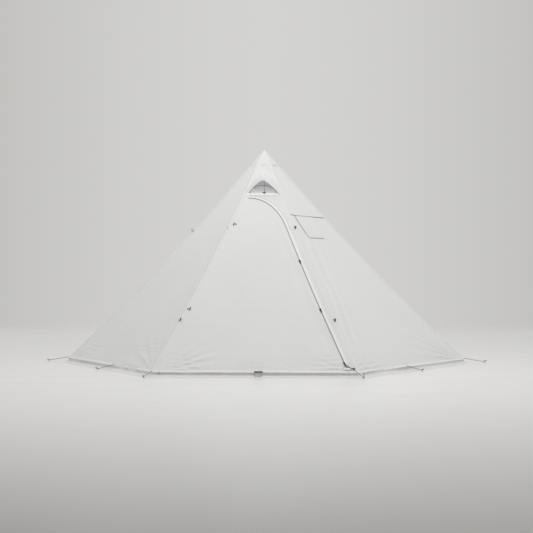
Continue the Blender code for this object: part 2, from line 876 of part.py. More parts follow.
def pegs_and_cords():
    for name, foot in corners.items():
        side = Vector((math.copysign(1, foot.x), math.copysign(1, foot.y), 1))
        if foot.y == 0:
            place = foot + Vector((side.x * side_peg_out, 0, 0))
        else:
            place = foot + Vector((side.x * front_peg_past, side.y * front_peg_out, 0))
        away = Vector((place.x - foot.x, place.y - foot.y, 0)).normalized()
        tall = name == "front_right"
        peg(name + "_peg", place, away, tall)
        if tall:
            below = front.normal(0).cross(front.along) * (buckle_size[1] / 2 + cord_seat)
            start = buckle_centre - below + front.normal(0) * cord_radius / 2
        else:
            middle = front.share(hem_band / 2)
            out = ridge_point(name, middle, 1.0) - ridge_point(name, middle, 0.0)
            start = ridge_point(name, middle, gap + webbing) + out.normalized() * (cord_radius + gap)
        cord(name + "_cord", start, place, peg_height / 2)
    for name, wall in walls.items():
        if name == "front":
            continue
        middle = wall.along * tie_across(name) + wall.out * wall.distance
        peg(name + "_edge_peg", middle + wall.out * edge_peg_out, wall.out)


def pole():
    seat = foot_height - foot_socket
    lower_bottom = seat + gap
    bore = upper_radius + tube_clear
    turned("pole_foot", [(0, seat), (lower_radius + gap, seat), (lower_radius + gap, foot_height),
                         (foot_shoulder, foot_height), (foot_radius, foot_edge), (foot_radius, 0),
                         (0, 0)], black_plastic)
    turned("lower_pole", [(lower_radius, lower_top), (lower_radius, lower_bottom),
                          (bore, lower_bottom), (bore, lower_top)], aluminium, hollow=True)
    upper_bottom = lower_top - pole_overlap
    tip_top = cap_inner_height(tip_radius) - gap
    upper_top = tip_top - tip_height
    origin = Vector((0, 0, upper_bottom))
    turned("upper_pole", [(upper_radius, upper_top), (upper_radius, upper_bottom),
                          (upper_radius - tube_wall, upper_bottom),
                          (upper_radius - tube_wall, upper_top)], aluminium, origin, hollow=True)
    turned("pole_tip", [(0, tip_top), (tip_radius, tip_top), (upper_radius, upper_top + tip_straight),
                        (upper_radius, upper_top + gap), (0, upper_top + gap)], black_plastic, origin)
    lock_top = lower_top + gap + lock_height / 2
    turned("pole_lock", [(lock_mouth, lock_top), (lock_radius, lock_top - lock_bevel),
                         (lock_radius, lower_top - lock_height / 2),
                         (lower_radius + gap, lower_top - lock_height / 2),
                         (lower_radius + gap, lower_top + gap),
                         (bore, lower_top + gap), (bore, lock_top)],
           black_plastic, Vector((0, 0, lower_top)), hollow=True)


# The height at which the cap's inside is as wide as a radius
def cap_inner_height(radius):
    facet = front.facets[-1]
    narrow = min(wall.distance for wall in walls.values())
    inside = narrow * spread(row_shares[-2]) / (apex_height - height(row_shares[-2]))
    return apex_height + gap / facet.y - radius / inside


front_wall()
for wall_name in ("front_left", "back_left", "back", "back_right"):
    plain_wall(wall_name)
door()
for slider_name, slider_place in slider_places.items():
    zip_slider(slider_name, slider_place)
door_strap()
door_buckle()
for toggle_name, toggle_place in toggle_places.items():
    door_toggle(toggle_name, *toggle_place)
for corner_name in corners:
    ridge_tape(corner_name)
hem_webbing()
door_hem()
skirts()
apex_cap()
vent()
stove_jack()
pegs_and_cords()
pole()
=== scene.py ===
# Looks of the six-sided tipi tent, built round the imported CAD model
import math
import bpy
import bmesh
import numpy
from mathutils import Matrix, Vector, noise
from mathutils.geometry import delaunay_2d_cdt
from mathutils.kdtree import KDTree


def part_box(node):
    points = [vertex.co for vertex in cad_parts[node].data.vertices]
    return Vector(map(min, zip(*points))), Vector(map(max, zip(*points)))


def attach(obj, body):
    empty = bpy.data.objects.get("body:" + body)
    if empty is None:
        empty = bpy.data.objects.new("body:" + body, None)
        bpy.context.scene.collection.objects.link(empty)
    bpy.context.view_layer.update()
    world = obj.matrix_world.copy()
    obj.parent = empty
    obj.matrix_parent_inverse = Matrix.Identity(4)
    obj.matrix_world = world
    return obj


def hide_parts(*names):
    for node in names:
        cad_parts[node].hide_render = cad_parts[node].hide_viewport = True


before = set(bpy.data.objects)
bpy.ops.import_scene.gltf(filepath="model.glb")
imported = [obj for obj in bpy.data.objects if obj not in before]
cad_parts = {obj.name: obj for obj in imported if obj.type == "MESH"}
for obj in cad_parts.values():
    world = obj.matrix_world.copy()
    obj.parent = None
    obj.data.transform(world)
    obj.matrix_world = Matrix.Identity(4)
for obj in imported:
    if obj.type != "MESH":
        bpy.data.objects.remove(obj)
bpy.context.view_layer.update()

# Camera, as fitted to the photograph
camera = {"place": (0.5875, -11.385, 0.843), "turn": 2.954, "lens": 76.3, "shift": (0.0035, 0.0216)}
cameraData = bpy.data.cameras.new("camera")
cameraData.lens = camera["lens"]
cameraData.sensor_width = 36
cameraData.shift_x, cameraData.shift_y = camera["shift"]
cameraData.clip_end = 200
cameraObject = bpy.data.objects.new("camera", cameraData)
cameraObject.location = camera["place"]
cameraObject.rotation_euler = (math.radians(90), 0, math.radians(camera["turn"]))
bpy.context.scene.collection.objects.link(cameraObject)
bpy.context.scene.camera = cameraObject

# The tent's base, as in the CAD source: metres, x across the front, -y the front
base = {"span": 4.00, "frontHem": 1.78, "depth": 3.40, "apex": 2.137, "hem": 0.030,
        "inward": 0.015, "drop": 0.030, "rows": 8, "topLeftOut": 0.10, "cap": 0.20,
        "gap": 0.0003, "cloth": 0.0012, "hemBand": 0.022}
corners = {
    "right": Vector((base["span"] / 2, 0, 0)),
    "front_right": Vector((base["frontHem"] / 2, -base["depth"] / 2, 0)),
    "front_left": Vector((-base["frontHem"] / 2, -base["depth"] / 2, 0)),
    "left": Vector((-base["span"] / 2, 0, 0)),
    "back_left": Vector((-base["frontHem"] / 2, base["depth"] / 2, 0)),
    "back_right": Vector((base["frontHem"] / 2, base["depth"] / 2, 0)),
}
wallEnds = {
    "front": ("front_left", "front_right"),
    "front_right": ("front_right", "right"),
    "back_right": ("right", "back_right"),
    "back": ("back_right", "back_left"),
    "back_left": ("back_left", "left"),
    "front_left": ("left", "front_left"),
}
up = Vector((0, 0, 1))


def smooth(value, low=0.0, high=1.0):
    part = min(max((value - low) / (high - low), 0.0), 1.0)
    return part * part * (3 - 2 * part)


def blend(a, b, part):
    return a + (b - a) * part


# The cosines and sines of equal steps round a circle
def around(count, closed=False):
    return [(math.cos(a), math.sin(a)) for a in (2 * math.pi * k / count for k in range(count + closed))]


# A sharp-crested wave between -1 and 1, one fold for each whole number
def crease(place):
    return 1 - 2 * abs(math.sin(math.pi * place)) ** 0.75


def hum(x, y, seed):
    return noise.noise(Vector((x, y, seed)))


def spread(t):
    return t - base["inward"] * 4 * t * (1 - t)


def height(t):
    return base["apex"] * (1 - t) + base["hem"] * t - base["drop"] * 4 * t * (1 - t)


# Folds of each wall in metres: left and right are (size, pitch, width, low, high) of the folds
# beside a ridge, and a fan is (side, reach, folds, size, turn)
plainFolds = {"seed": 0.0, "slack": 0.0060, "fine": 0.0012, "pleats": 0.0012, "pleatCount": 30,
              "hem": 0.0080, "hemPitch": 0.046, "hemReach": 0.14,
              "left": (0.0028, 0.110, 0.26, 0.25, 2.1), "right": (0.0028, 0.110, 0.26, 0.25, 2.1),
              "fans": ((0, 0.60, 7.0, 0.0050, 0.3), (1, 0.60, 7.0, 0.0050, 1.1))}
wallFolds = {
    "front": dict(plainFolds, seed=3.1, slack=0.0040, pleats=0.0045, hem=0.0100, hemReach=0.12,
                  left=(0.0018, 0.090, 0.16, 0.3, 1.7), right=(0.0055, 0.120, 0.26, 0.15, 1.85),
                  fans=((0, 0.80, 11.0, 0.0070, 0.2), (1, 0.55, 9.0, 0.0045, 0.9))),
    "front_right": dict(plainFolds, seed=17.7, slack=0.0050, hem=0.0100,
                        left=(0.0065, 0.135, 0.46, 0.10, 2.1), right=(0.0025, 0.080, 0.2, 0.2, 1.6),
                        fans=((0, 0.60, 9.0, 0.0045, 0.5), (1, 1.20, 12.0, 0.0080, 0.1))),
    "front_left": dict(plainFolds, seed=29.3, slack=0.0050, hem=0.0190, hemReach=0.16, hemPitch=0.048,
                       fans=((0, 0.60, 9.0, 0.0045, 0.8), (1, 0.90, 9.0, 0.0080, 0.4))),
    "back_right": dict(plainFolds, seed=41.9),
    "back": dict(plainFolds, seed=53.2),
    "back_left": dict(plainFolds, seed=67.8),
}


# One wall. Points on it are x across, s up the slope from the hem and n outwards
class Wall:
    def __init__(self, name):
        left, right = (corners[end] for end in wallEnds[name])
        self.along = (right - left).normalized()
        self.out = self.along.cross(up)
        self.distance = left.dot(self.out)
        self.leftFoot, self.rightFoot = left.dot(self.along), right.dot(self.along)
        self.shares = [1 - row / base["rows"] for row in range(base["rows"] + 1)]
        profile = [Vector((self.distance * spread(t), height(t))) for t in self.shares]
        self.rises = [0.0]
        for low, high in zip(profile, profile[1:]):
            self.rises.append(self.rises[-1] + (high - low).length)
        self.top = self.rises[-1]
        self.look = wallFolds[name]

    def share(self, s):
        index = 0
        while index < base["rows"] - 1 and s > self.rises[index + 1]:
            index += 1
        part = (s - self.rises[index]) / (self.rises[index + 1] - self.rises[index])
        return blend(self.shares[index], self.shares[index + 1], part)

    def rise(self, t):
        for index in range(base["rows"]):
            if self.shares[index + 1] <= t:
                break
        part = (self.shares[index] - t) * base["rows"]
        return blend(self.rises[index], self.rises[index + 1], part)

    def slope(self, t):
        way = Vector((self.distance * (1 - base["inward"] * 4 * (1 - 2 * t)),
                      -base["apex"] + base["hem"] - base["drop"] * 4 * (1 - 2 * t))).normalized()
        return -way

    def normal(self, s):
        way = self.slope(self.share(s))
        return self.out * way.y - up * way.x

    def uphill(self, s):
        way = self.slope(self.share(s))
        return self.out * way.x + up * way.y

    def flat(self, x, s, n=0.0):
        t = self.share(s)
        way = self.slope(t)
        return (self.along * x + self.out * (self.distance * spread(t) + way.y * n)
                + up * (height(t) - way.x * n))

    def left(self, s):
        return self.leftFoot * spread(self.share(s))

    def right(self, s):
        return self.rightFoot * spread(self.share(s))

    # How far the cloth stands off its smooth shape
    def fold(self, x, s):
        look = self.look
        inLeft, inRight = x - self.left(s), self.right(s) - x
        edge = smooth(min(inLeft, inRight), 0.010, 0.060)
        if edge == 0:
            return 0.0
        seed = look["seed"]
        total = look["slack"] * hum(x * 2.6, s * 1.5, seed) + look["fine"] * hum(x * 13, s * 10, seed + 5)
        down = max(self.top - s, 0.05)
        window = smooth(down, 0.10, 0.26) * (1 - smooth(down, 0.35, 1.05))
        if window:
            wave = math.sin(look["pleatCount"] * x / down + 2 * hum(x * 3, s, seed + 2))
            total += look["pleats"] * window * wave
        for side, across in (("left", inLeft), ("right", inRight)):
            size, pitch, wide, low, high = look[side]
            window = 1 - smooth(across, wide * 0.35, wide)
            window *= smooth(s, low, low + 0.3) * (1 - smooth(s, high - 0.3, high))
            if window:
                total += size * window * crease(across / pitch + 0.6 * hum(x * 2, s * 1.6, seed + 9))
        for side, reach, count, size, turn in look["fans"]:
            dx = x - (self.rightFoot if side else self.leftFoot)
            far = math.hypot(dx, s)
            if far < reach:
                angle = math.atan2(s, abs(dx) + 0.001)
                window = smooth(far, 0.03, 0.14) * (1 - smooth(far / reach, 0.30, 1))
                window *= blend(1.0, 0.22, smooth(angle, 0.30, 0.75)) * (0.75 + 0.5 * hum(angle * 4, 0.7, seed + 6))
                place = count * angle / math.pi * 1.6 + turn + 0.25 * hum(far * 3, angle * 2, seed + 3)
                total += size * window * min(far / 0.35, 1) * crease(place)
        window = math.exp(-s / look["hemReach"])
        if window > 0.02:
            shift = 0.060 * hum(x * 1.6, 0.3, seed + 7)
            place = (s + shift) / look["hemPitch"] + 0.9 * hum(x * 1.4, s * 4, seed + 4)
            total += look["hem"] * window * crease(place) * max(0.15 + 1.5 * hum(x * 1.9, s * 5, seed + 8), 0)
        return total * edge * self.calm(x, s)

    # The cloth lies flat where the vent and the stove jack are sewn on
    def calm(self, x, s):
        if self is walls["front"]:
            return blend(0.12, 1.0, smooth(math.hypot(x, (self.top - s - 0.50) * 0.8), 0.13, 0.26))
        if self is walls["front_right"]:
            return blend(0.15, 1.0, smooth(math.hypot(x + 0.055, s - 1.70), 0.19, 0.32))
        return 1.0

    def laid(self, x, s, n=0.0):
        return self.flat(x, s, n + self.fold(x, s))


walls = {name: Wall(name) for name in wallEnds}
front = walls["front"]


# A point at a corner's ridge, n outwards from both of its walls
def ridgePoint(corner, t, n):
    one, two = [walls[name] for name, ends in wallEnds.items() if corner in ends]
    first, second = [wall.out * wall.slope(t).y - up * wall.slope(t).x for wall in (one, two)]
    place = corners[corner] * spread(t) + up * height(t)
    return place + (first + second) * n / (1 + first.dot(second))


# Shading: small builders for node trees, and the groups that several materials share
class Graph:
    def __init__(self, tree):
        self.tree = tree

    def fill(self, node, sockets):
        for key, value in sockets.items():
            if isinstance(value, bpy.types.NodeSocket):
                self.tree.links.new(value, node.inputs[key])
            else:
                node.inputs[key].default_value = value
        return node

    def add(self, kind, sockets=None, **settings):
        node = self.tree.nodes.new(kind)
        for key, value in settings.items():
            setattr(node, key, value)
        return self.fill(node, sockets or {})

    def math(self, operation, *values):
        return self.add("ShaderNodeMath", dict(enumerate(values)), operation=operation).outputs[0]

    def mix(self, factor, a, b):
        a, b = [(*tone, 1) if isinstance(tone, tuple) else tone for tone in (a, b)]
        return self.add("ShaderNodeMix", {"Factor": factor, "A": a, "B": b}, data_type="RGBA").outputs["Result"]

    def ramp(self, value, low, high, start=0.0, end=1.0, kind="LINEAR"):
        return self.add("ShaderNodeMapRange", {"Value": value, "From Min": low, "From Max": high, "To Min": start,
                                               "To Max": end}, interpolation_type=kind).outputs[0]

    def grain(self, place, scale, detail, more=None):
        return self.add("ShaderNodeTexNoise", dict({"Vector": place, "Scale": scale, "Detail": detail},
                                                   **(more or {}))).outputs["Fac"]

    def bump(self, level, strength, distance, more=None):
        return self.add("ShaderNodeBump", dict({"Height": level, "Strength": strength, "Distance": distance},
                                               **(more or {}))).outputs[0]

    def place(self, kind):
        return self.add("ShaderNodeTexCoord").outputs[kind]

    def parts(self, vector):
        return self.add("ShaderNodeSeparateXYZ", {0: vector}).outputs


def newGroup(name, inputs, outputs):
    tree = bpy.data.node_groups.new(name, "ShaderNodeTree")
    for label, kind, value in inputs:
        socket = tree.interface.new_socket(name=label, in_out="INPUT", socket_type=kind)
        socket.default_value = value
    for label in outputs:
        tree.interface.new_socket(name=label, in_out="OUTPUT", socket_type="NodeSocketFloat")
    graph = Graph(tree)
    return tree, graph, graph.add("NodeGroupInput").outputs, graph.add("NodeGroupOutput")


# Threads crossing at right angles, with a thicker one every so often
def weaveGroup():
    tree, graph, given, result = newGroup(
        "weave", [("Vector", "NodeSocketVector", (0, 0, 0)), ("Pitch", "NodeSocketFloat", 0.001),
                  ("Grid", "NodeSocketFloat", 0.006)], ["Height", "Line"])
    parts = graph.parts(given["Vector"])
    waves, lines = [], []
    for axis in (0, 1):
        turn = graph.math("DIVIDE", graph.math("MULTIPLY", parts[axis], 2 * math.pi), given["Pitch"])
        waves.append(graph.math("SINE", turn))
        slow = graph.math("DIVIDE", graph.math("MULTIPLY", parts[axis], math.pi), given["Grid"])
        lines.append(graph.math("POWER", graph.math("ABSOLUTE", graph.math("COSINE", slow)), 24.0))
    both = graph.math("MULTIPLY", *waves)
    line = graph.math("MAXIMUM", *lines)
    graph.fill(result, {"Height": graph.math("MULTIPLY_ADD", both, 0.25, line), "Line": line})
    return tree


# Soft blotches of handling and dust, more of them low down
def wearGroup():
    tree, graph, given, result = newGroup(
        "wear", [("Low", "NodeSocketFloat", 0.02), ("High", "NodeSocketFloat", 0.25)], ["Dust", "Blotch"])
    place = graph.place("Object")
    low = graph.ramp(graph.parts(place)[2], given["Low"], given["High"], 1.0, 0.0, "SMOOTHSTEP")
    patchy = graph.ramp(graph.grain(place, 34.0, 5.0), 0.42, 0.68)
    graph.fill(result, {"Dust": graph.math("MULTIPLY", low, patchy), "Blotch": graph.grain(place, 2.3, 4.0)})
    return tree


weave, wear = weaveGroup(), wearGroup()
materials = {}


def newMaterial(name):
    made = bpy.data.materials.new(name)
    made.use_nodes = True
    materials[name] = made
    return Graph(made.node_tree), made.node_tree.nodes["Principled BSDF"]


# Woven or coated fabrics: base tones, how strongly threads and crumples show, and a glow
clothLook = {"pitch": 0.0011, "grid": 0.0064, "low": (0.775, 0.775, 0.775), "high": (0.815, 0.815, 0.816),
             "line": (0.84, 0.84, 0.84), "lineTone": 0.35, "dust": 0.10, "rough": 0.52, "crumple": 0.5,
             "thread": 0.25, "sheen": 0.05, "gloss": 0.45, "dirt": (0.52, 0.48, 0.42)}
fabricLooks = {
    "white_cloth": {},
    "hood_cloth": {},
    "white_tape": {"pitch": 0.0014, "grid": 0.0040, "low": (0.89, 0.89, 0.885), "high": (0.93, 0.93, 0.93),
                   "thread": 0.6, "crumple": 0.15, "rough": 0.6, "gloss": 0.35},
    # The sill tape's near-white tone is painted light, making up for the hood's shadow on it
    "painted_light_tape": {"low": (0.95, 0.95, 0.945), "high": (0.98, 0.98, 0.98), "line": (0.97, 0.97, 0.97),
                    "thread": 0.4, "crumple": 0.15, "dust": 0.0, "rough": 0.6},
    "seam_cloth": {"low": (0.81, 0.81, 0.81), "high": (0.84, 0.84, 0.84), "thread": 0.4, "crumple": 0.3},
    "skirt_cloth": {"low": (0.80, 0.80, 0.795), "high": (0.85, 0.85, 0.845), "dust": 0.20, "rough": 0.42},
    "grey_zip": {"pitch": 0.0009, "grid": 0.0030, "low": (0.48, 0.48, 0.485), "high": (0.54, 0.54, 0.545),
                 "line": (0.60, 0.60, 0.60), "rough": 0.55, "dust": 0.2, "sheen": 0.0},
    "grey_web": {"pitch": 0.0012, "grid": 0.0030, "low": (0.085, 0.085, 0.09), "high": (0.12, 0.12, 0.125),
                 "line": (0.17, 0.17, 0.17), "rough": 0.6, "dust": 0.2, "thread": 0.8, "sheen": 0.0},
    "heat_cloth": {"pitch": 0.0022, "grid": 0.0044, "low": (0.50, 0.48, 0.44), "high": (0.57, 0.55, 0.50),
                   "line": (0.40, 0.38, 0.34), "rough": 0.85, "thread": 1.0, "gloss": 0.2},
    "grey_cord": {"pitch": 0.0030, "grid": 0.0060, "low": (0.20, 0.20, 0.20), "high": (0.27, 0.27, 0.27),
                  "line": (0.38, 0.38, 0.38), "lineTone": 0.5, "rough": 0.75, "thread": 1.0, "dust": 0.25,
                  "gloss": 0.3},
    "grey_mesh": {"pitch": 0.0016, "grid": 0.0016, "low": (0.84, 0.84, 0.84), "high": (0.88, 0.88, 0.88),
                  "line": (0.90, 0.90, 0.90), "rough": 0.7, "thread": 0.7, "dust": 0.0, "gloss": 0.2},
}


def fabric(name):
    look = dict(clothLook, **fabricLooks[name])
    graph, shader = newMaterial(name)
    place = graph.place("UV")
    threads = graph.add("ShaderNodeGroup", node_tree=weave)
    graph.fill(threads, {"Vector": place, "Pitch": look["pitch"], "Grid": look["grid"]})
    marks = graph.add("ShaderNodeGroup", node_tree=wear).outputs
    crumple = graph.grain(place, 16.0, 6.0, {"Roughness": 0.6, "Distortion": 0.4})
    tone = graph.mix(marks["Blotch"], look["low"], look["high"])
    tone = graph.mix(graph.math("MULTIPLY", threads.outputs["Line"], look["lineTone"]), tone, look["line"])
    tone = graph.mix(graph.math("MULTIPLY", marks["Dust"], look["dust"]), tone, look["dirt"])
    crumpled = graph.bump(crumple, look["crumple"], 0.004)
    woven = graph.bump(threads.outputs["Height"], look["thread"], 0.0004, {"Normal": crumpled})
    rough = graph.ramp(crumple, 0.0, 1.0, look["rough"] - 0.07, look["rough"] + 0.08)
    graph.fill(shader, {"Base Color": tone, "Roughness": rough, "Normal": woven, "Sheen Weight": look["sheen"],
                        "Sheen Roughness": 0.4, "Specular IOR Level": look["gloss"]})
    return graph, shader, place


# Daylight that comes through the cloth, or is bounced by it, stands in as a low glow
glowLook = {"sill": 0.11, "hood": 0.16, "netLow": front.top - 0.565, "netHigh": front.top - 0.490,
            "netFoot": 0.08, "netHead": 0.02}


def glowing(graph, shader, colour):
    graph.fill(shader, {"Emission Color": colour, "Emission Strength": 1.0})


# The hood glows on its underside only
def hoodGlow(graph, shader):
    facing = graph.add("ShaderNodeNewGeometry").outputs["Normal"]
    glowing(graph, shader, graph.ramp(graph.parts(facing)[2], 0.05, -0.25, 0.0, glowLook["hood"]))


# The net has open squares between its threads, and a glow that is painted light: stronger low down, weaker up in
# the hood's shade
def netHolesAndGlow(graph, shader, place):
    parts = graph.parts(place)
    pitch = fabricLooks["grey_mesh"]["pitch"]
    waves = [graph.math("ABSOLUTE", graph.math("COSINE", graph.math("MULTIPLY", parts[k], math.pi / pitch)))
             for k in (0, 1)]
    graph.fill(shader, {"Alpha": graph.math("GREATER_THAN", graph.math("MAXIMUM", *waves), 0.40)})
    upper = graph.ramp(parts[1], glowLook["netLow"], glowLook["netHigh"], kind="SMOOTHSTEP")
    glowing(graph, shader, graph.mix(upper, (glowLook["netFoot"],) * 3, (glowLook["netHead"],) * 3))


for fabricName in fabricLooks:
    fabricGraph, fabricShader, fabricPlace = fabric(fabricName)
    # The sill tape also glows: painted light in place of the light that the hood's shadow takes from it
    if fabricName == "painted_light_tape":
        glowing(fabricGraph, fabricShader, (*[glowLook["sill"]] * 3, 1))
    if fabricName == "hood_cloth":
        hoodGlow(fabricGraph, fabricShader)
    if fabricName == "grey_mesh":
        netHolesAndGlow(fabricGraph, fabricShader, fabricPlace)


# Plastic, steel and aluminium: a tone, fine grain and rubbed spots
def hard(name, colour, worn, rough, metallic, grain, stretch=(1, 1, 1)):
    graph, shader = newMaterial(name)
    place = graph.place("Object")
    fine = graph.grain(graph.add("ShaderNodeMapping", {"Vector": place, "Scale": stretch}).outputs[0], 900.0, 3.0)
    spots = graph.ramp(graph.grain(place, 70.0, 4.0), 0.5, 0.75)
    graph.fill(shader, {"Base Color": graph.mix(spots, colour, worn), "Metallic": metallic,
                        "Roughness": graph.ramp(fine, 0.0, 1.0, rough - 0.08, rough + 0.1),
                        "Normal": graph.bump(fine, grain, 0.0003)})


hard("black_plastic", (0.022, 0.022, 0.024), (0.05, 0.05, 0.052), 0.42, 0.0, 0.5)
hard("steel", (0.20, 0.20, 0.205), (0.42, 0.42, 0.42), 0.38, 1.0, 0.3)
hard("aluminium", (0.62, 0.62, 0.64), (0.72, 0.72, 0.73), 0.34, 1.0, 0.25, (1, 1, 0.02))


# Flat places for rings of points, measured along and across them
def measured(rings):
    far, result = 0.0, []
    for j, ring in enumerate(rings):
        far += (ring[0] - rings[j - 1][0]).length if j else 0.0
        across, row = 0.0, []
        for k, point in enumerate(ring):
            across += (point - ring[k - 1]).length if k else 0.0
            row.append((across, far))
        result.append(row)
    return result


# Points, faces and flat places (for the weave) of one piece, gathered part by part
class Shape:
    def __init__(self):
        self.verts, self.faces, self.uvs = [], [], []

    # A closed body through rings of points, capped at both ends or joined end to end
    def loft(self, rings, uvRows=None, loop=False):
        start, wide, count = len(self.verts), len(rings[0]), len(rings)
        for ring, row in zip(rings, uvRows or measured(rings)):
            self.verts += ring
            self.uvs += row
        for j in range(count if loop else count - 1):
            low, high = start + j * wide, start + (j + 1) % count * wide
            for k in range(wide):
                after = (k + 1) % wide
                self.faces.append((low + k, low + after, high + after, high + k))
        if not loop:
            last = start + (count - 1) * wide
            self.faces += [tuple(range(start + wide - 1, start - 1, -1)), tuple(range(last, last + wide))]

    # A round bar along points; radius is one number or one for each point
    def tube(self, points, radius, sides=10, loop=False):
        count = len(points)
        sizes = radius if hasattr(radius, "__len__") else [radius] * count
        ways = []
        for k in range(count):
            ahead = (k + 1) % count if loop else min(k + 1, count - 1)
            behind = k - 1 if loop else max(k - 1, 0)
            ways.append((points[ahead] - points[behind]).normalized())
        side = ways[0].orthogonal().normalized()
        rings = []
        for point, way, size in zip(points, ways, sizes):
            side = (side - way * side.dot(way)).normalized()
            other = way.cross(side)
            rings.append([point + (side * c + other * s) * size for c, s in around(sides)])
        self.loft(rings, loop=loop)

    # A cut sheet: loops cut flat and meshed, laid by a function, from n low to n high
    def sheet(self, loops, step, lay, low, high, fine=(), shift=0.0):
        cut, triangles = cutOut(loops, step, fine)
        start, count = len(self.verts), len(cut)
        for level in (high, low):
            self.verts += [lay(x, y, level) for x, y in cut]
            self.uvs += [(x + shift, y) for x, y in cut]
        edges = {}
        for a, b, c in triangles:
            self.faces.append((start + a, start + b, start + c))
            self.faces.append((start + count + c, start + count + b, start + count + a))
            for pair in ((a, b), (b, c), (c, a)):
                edges[pair] = True
        for one, two in edges:
            if (two, one) not in edges:
                self.faces.append((start + two, start + one, start + count + one, start + count + two))

    # Raised stitches along points, standing off by the normals
    def stitches(self, points, normals):
        far, due = 0.0, stitchLook["step"] / 2
        for k in range(len(points) - 1):
            way = points[k + 1] - points[k]
            size = way.length
            while size > 0 and due <= far + size:
                part = (due - far) / size
                middle = points[k].lerp(points[k + 1], part)
                normal = normals[k].lerp(normals[k + 1], part).normalized()
                along = way.normalized()
                side = normal.cross(along) * stitchLook["wide"] / 2
                along = along * stitchLook["long"] / 2
                start = len(self.verts)
                self.verts += [middle - along, middle - side, middle + along, middle + side,
                               middle + normal * stitchLook["high"]]
                self.uvs += [(0.0, 0.0)] * 5
                for one, two in ((0, 1), (1, 2), (2, 3), (3, 0)):
                    self.faces.append((start + one, start + two, start + 4))
                self.faces.append((start + 3, start + 2, start + 1, start))
                due += stitchLook["step"]
            far += size

    # A turned body round an axis; the profile lists (radius, distance along it)
    def turned(self, profile, centre=Vector(), axis=up, steps=40, loop=False):
        side = axis.orthogonal().normalized()
        other = axis.cross(side)
        self.loft([[centre + axis * level + (side * c + other * s) * max(radius, 0.00005)
                    for c, s in around(steps)] for radius, level in profile], loop=loop)

    # A block with bevelled edges
    def block(self, centre, axes, size, bevel):
        shape = bmesh.new()
        bmesh.ops.create_cube(shape, size=1.0)
        for vert in shape.verts:
            vert.co = Vector([part * length for part, length in zip(vert.co, size)])
        bmesh.ops.bevel(shape, geom=list(shape.edges), offset=bevel, segments=3, profile=0.5, affect="EDGES")
        start = len(self.verts)
        for vert in shape.verts:
            self.verts.append(centre + sum((axis * part for axis, part in zip(axes, vert.co)), Vector()))
            self.uvs.append((vert.co.x, vert.co.y))
        self.faces += [tuple(start + vert.index for vert in face.verts) for face in shape.faces]
        shape.free()

    def make(self, name, finish, body, stands=(), sharp=38):
        mesh = bpy.data.meshes.new(name)
        mesh.from_pydata([tuple(point) for point in self.verts], [], self.faces)
        shape = bmesh.new()
        shape.from_mesh(mesh)
        bmesh.ops.recalc_face_normals(shape, faces=shape.faces)
        shape.to_mesh(mesh)
        shape.free()
        layer = mesh.uv_layers.new(name="cut")
        for loop in mesh.loops:
            layer.data[loop.index].uv = self.uvs[loop.vertex_index]
        mesh.shade_smooth()
        mesh.set_sharp_from_angle(angle=math.radians(sharp))
        mesh.materials.append(materials[finish])
        made = bpy.data.objects.new(name, mesh)
        bpy.context.scene.collection.objects.link(made)
        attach(made, body)
        if stands:
            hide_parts(*stands)
        return made


stitchLook = {"step": 0.0085, "long": 0.0058, "wide": 0.0011, "high": 0.0007}


# Lines and cuts on a flat wall
def resample(line, step, closed=False):
    result = []
    for a, b in zip(line, line[1:] + line[:1] if closed else line[1:]):
        count = max(1, math.ceil(math.dist(a, b) / step))
        result += [tuple(blend(p, q, k / count) for p, q in zip(a, b)) for k in range(count)]
    return result if closed else result + [tuple(line[-1])]


def movedLine(points, distance):
    result = []
    for k, here in enumerate(points):
        before = Vector(here) - Vector(points[k - 1]) if k else None
        after = Vector(points[k + 1]) - Vector(here) if k < len(points) - 1 else None
        sides = [Vector((-way.y, way.x)).normalized() for way in (before, after) if way]
        push = (sides[0] + sides[-1]) / (1 + sides[0].dot(sides[-1]))
        result.append((here[0] + push.x * distance, here[1] + push.y * distance))
    return result


def insideOf(points, loops):
    inside = numpy.zeros(len(points), bool)
    for loop in loops:
        line = numpy.array(loop)
        for (x1, y1), (x2, y2) in zip(line, numpy.roll(line, -1, axis=0)):
            if y1 == y2:
                continue
            crosses = (points[:, 1] > y1) != (points[:, 1] > y2)
            inside ^= crosses & (points[:, 0] < (x2 - x1) * (points[:, 1] - y1) / (y2 - y1) + x1)
    return inside


# A flat cut with holes as points and triangles, finer inside (x, y, x, y, step) boxes
def cutOut(loops, step, fine=()):
    loops = [resample(loop, step, closed=True) for loop in loops]
    points, edges = [], []
    for loop in loops:
        start = len(points)
        points += loop
        edges += [(start + k, start + (k + 1) % len(loop)) for k in range(len(loop))]
    rim = KDTree(len(points))
    for index, (x, y) in enumerate(points):
        rim.insert((x, y, 0), index)
    rim.balance()
    everything = numpy.array(points)
    low, high = everything.min(axis=0), everything.max(axis=0)
    inner = []
    for number, (left, bottom, right, top, pitch) in enumerate([(*low, *high, step), *fine]):
        for j in range(1, int((top - bottom) / (pitch * 0.866)) + 1):
            for k in range(int((right - left) / pitch) + 2):
                x, y = left + (k - 0.5 * (j % 2)) * pitch, bottom + j * pitch * 0.866
                if number or not any(a < x < c and b < y < d for a, b, c, d, _ in fine):
                    inner.append((x, y, pitch))
    if inner:
        inner = numpy.array(inner)
        for x, y, pitch in inner[insideOf(inner, loops)]:
            if rim.find((x, y, 0))[2] > pitch * 0.55:
                points.append((float(x), float(y)))
    result = delaunay_2d_cdt([Vector(p) for p in points], edges, [], 2, 0.00001)
    places, triangles = numpy.array([tuple(p) for p in result[0]]), [tuple(face) for face in result[2]]
    kept = insideOf(places[numpy.array(triangles)].mean(axis=1), loops)
    return [tuple(p) for p in places.tolist()], [face for face, keep in zip(triangles, kept) if keep]


# A round hole or ring, flat
def circle(centre, radius, count):
    return [(centre[0] + radius * c, centre[1] + radius * s) for c, s in around(count)]


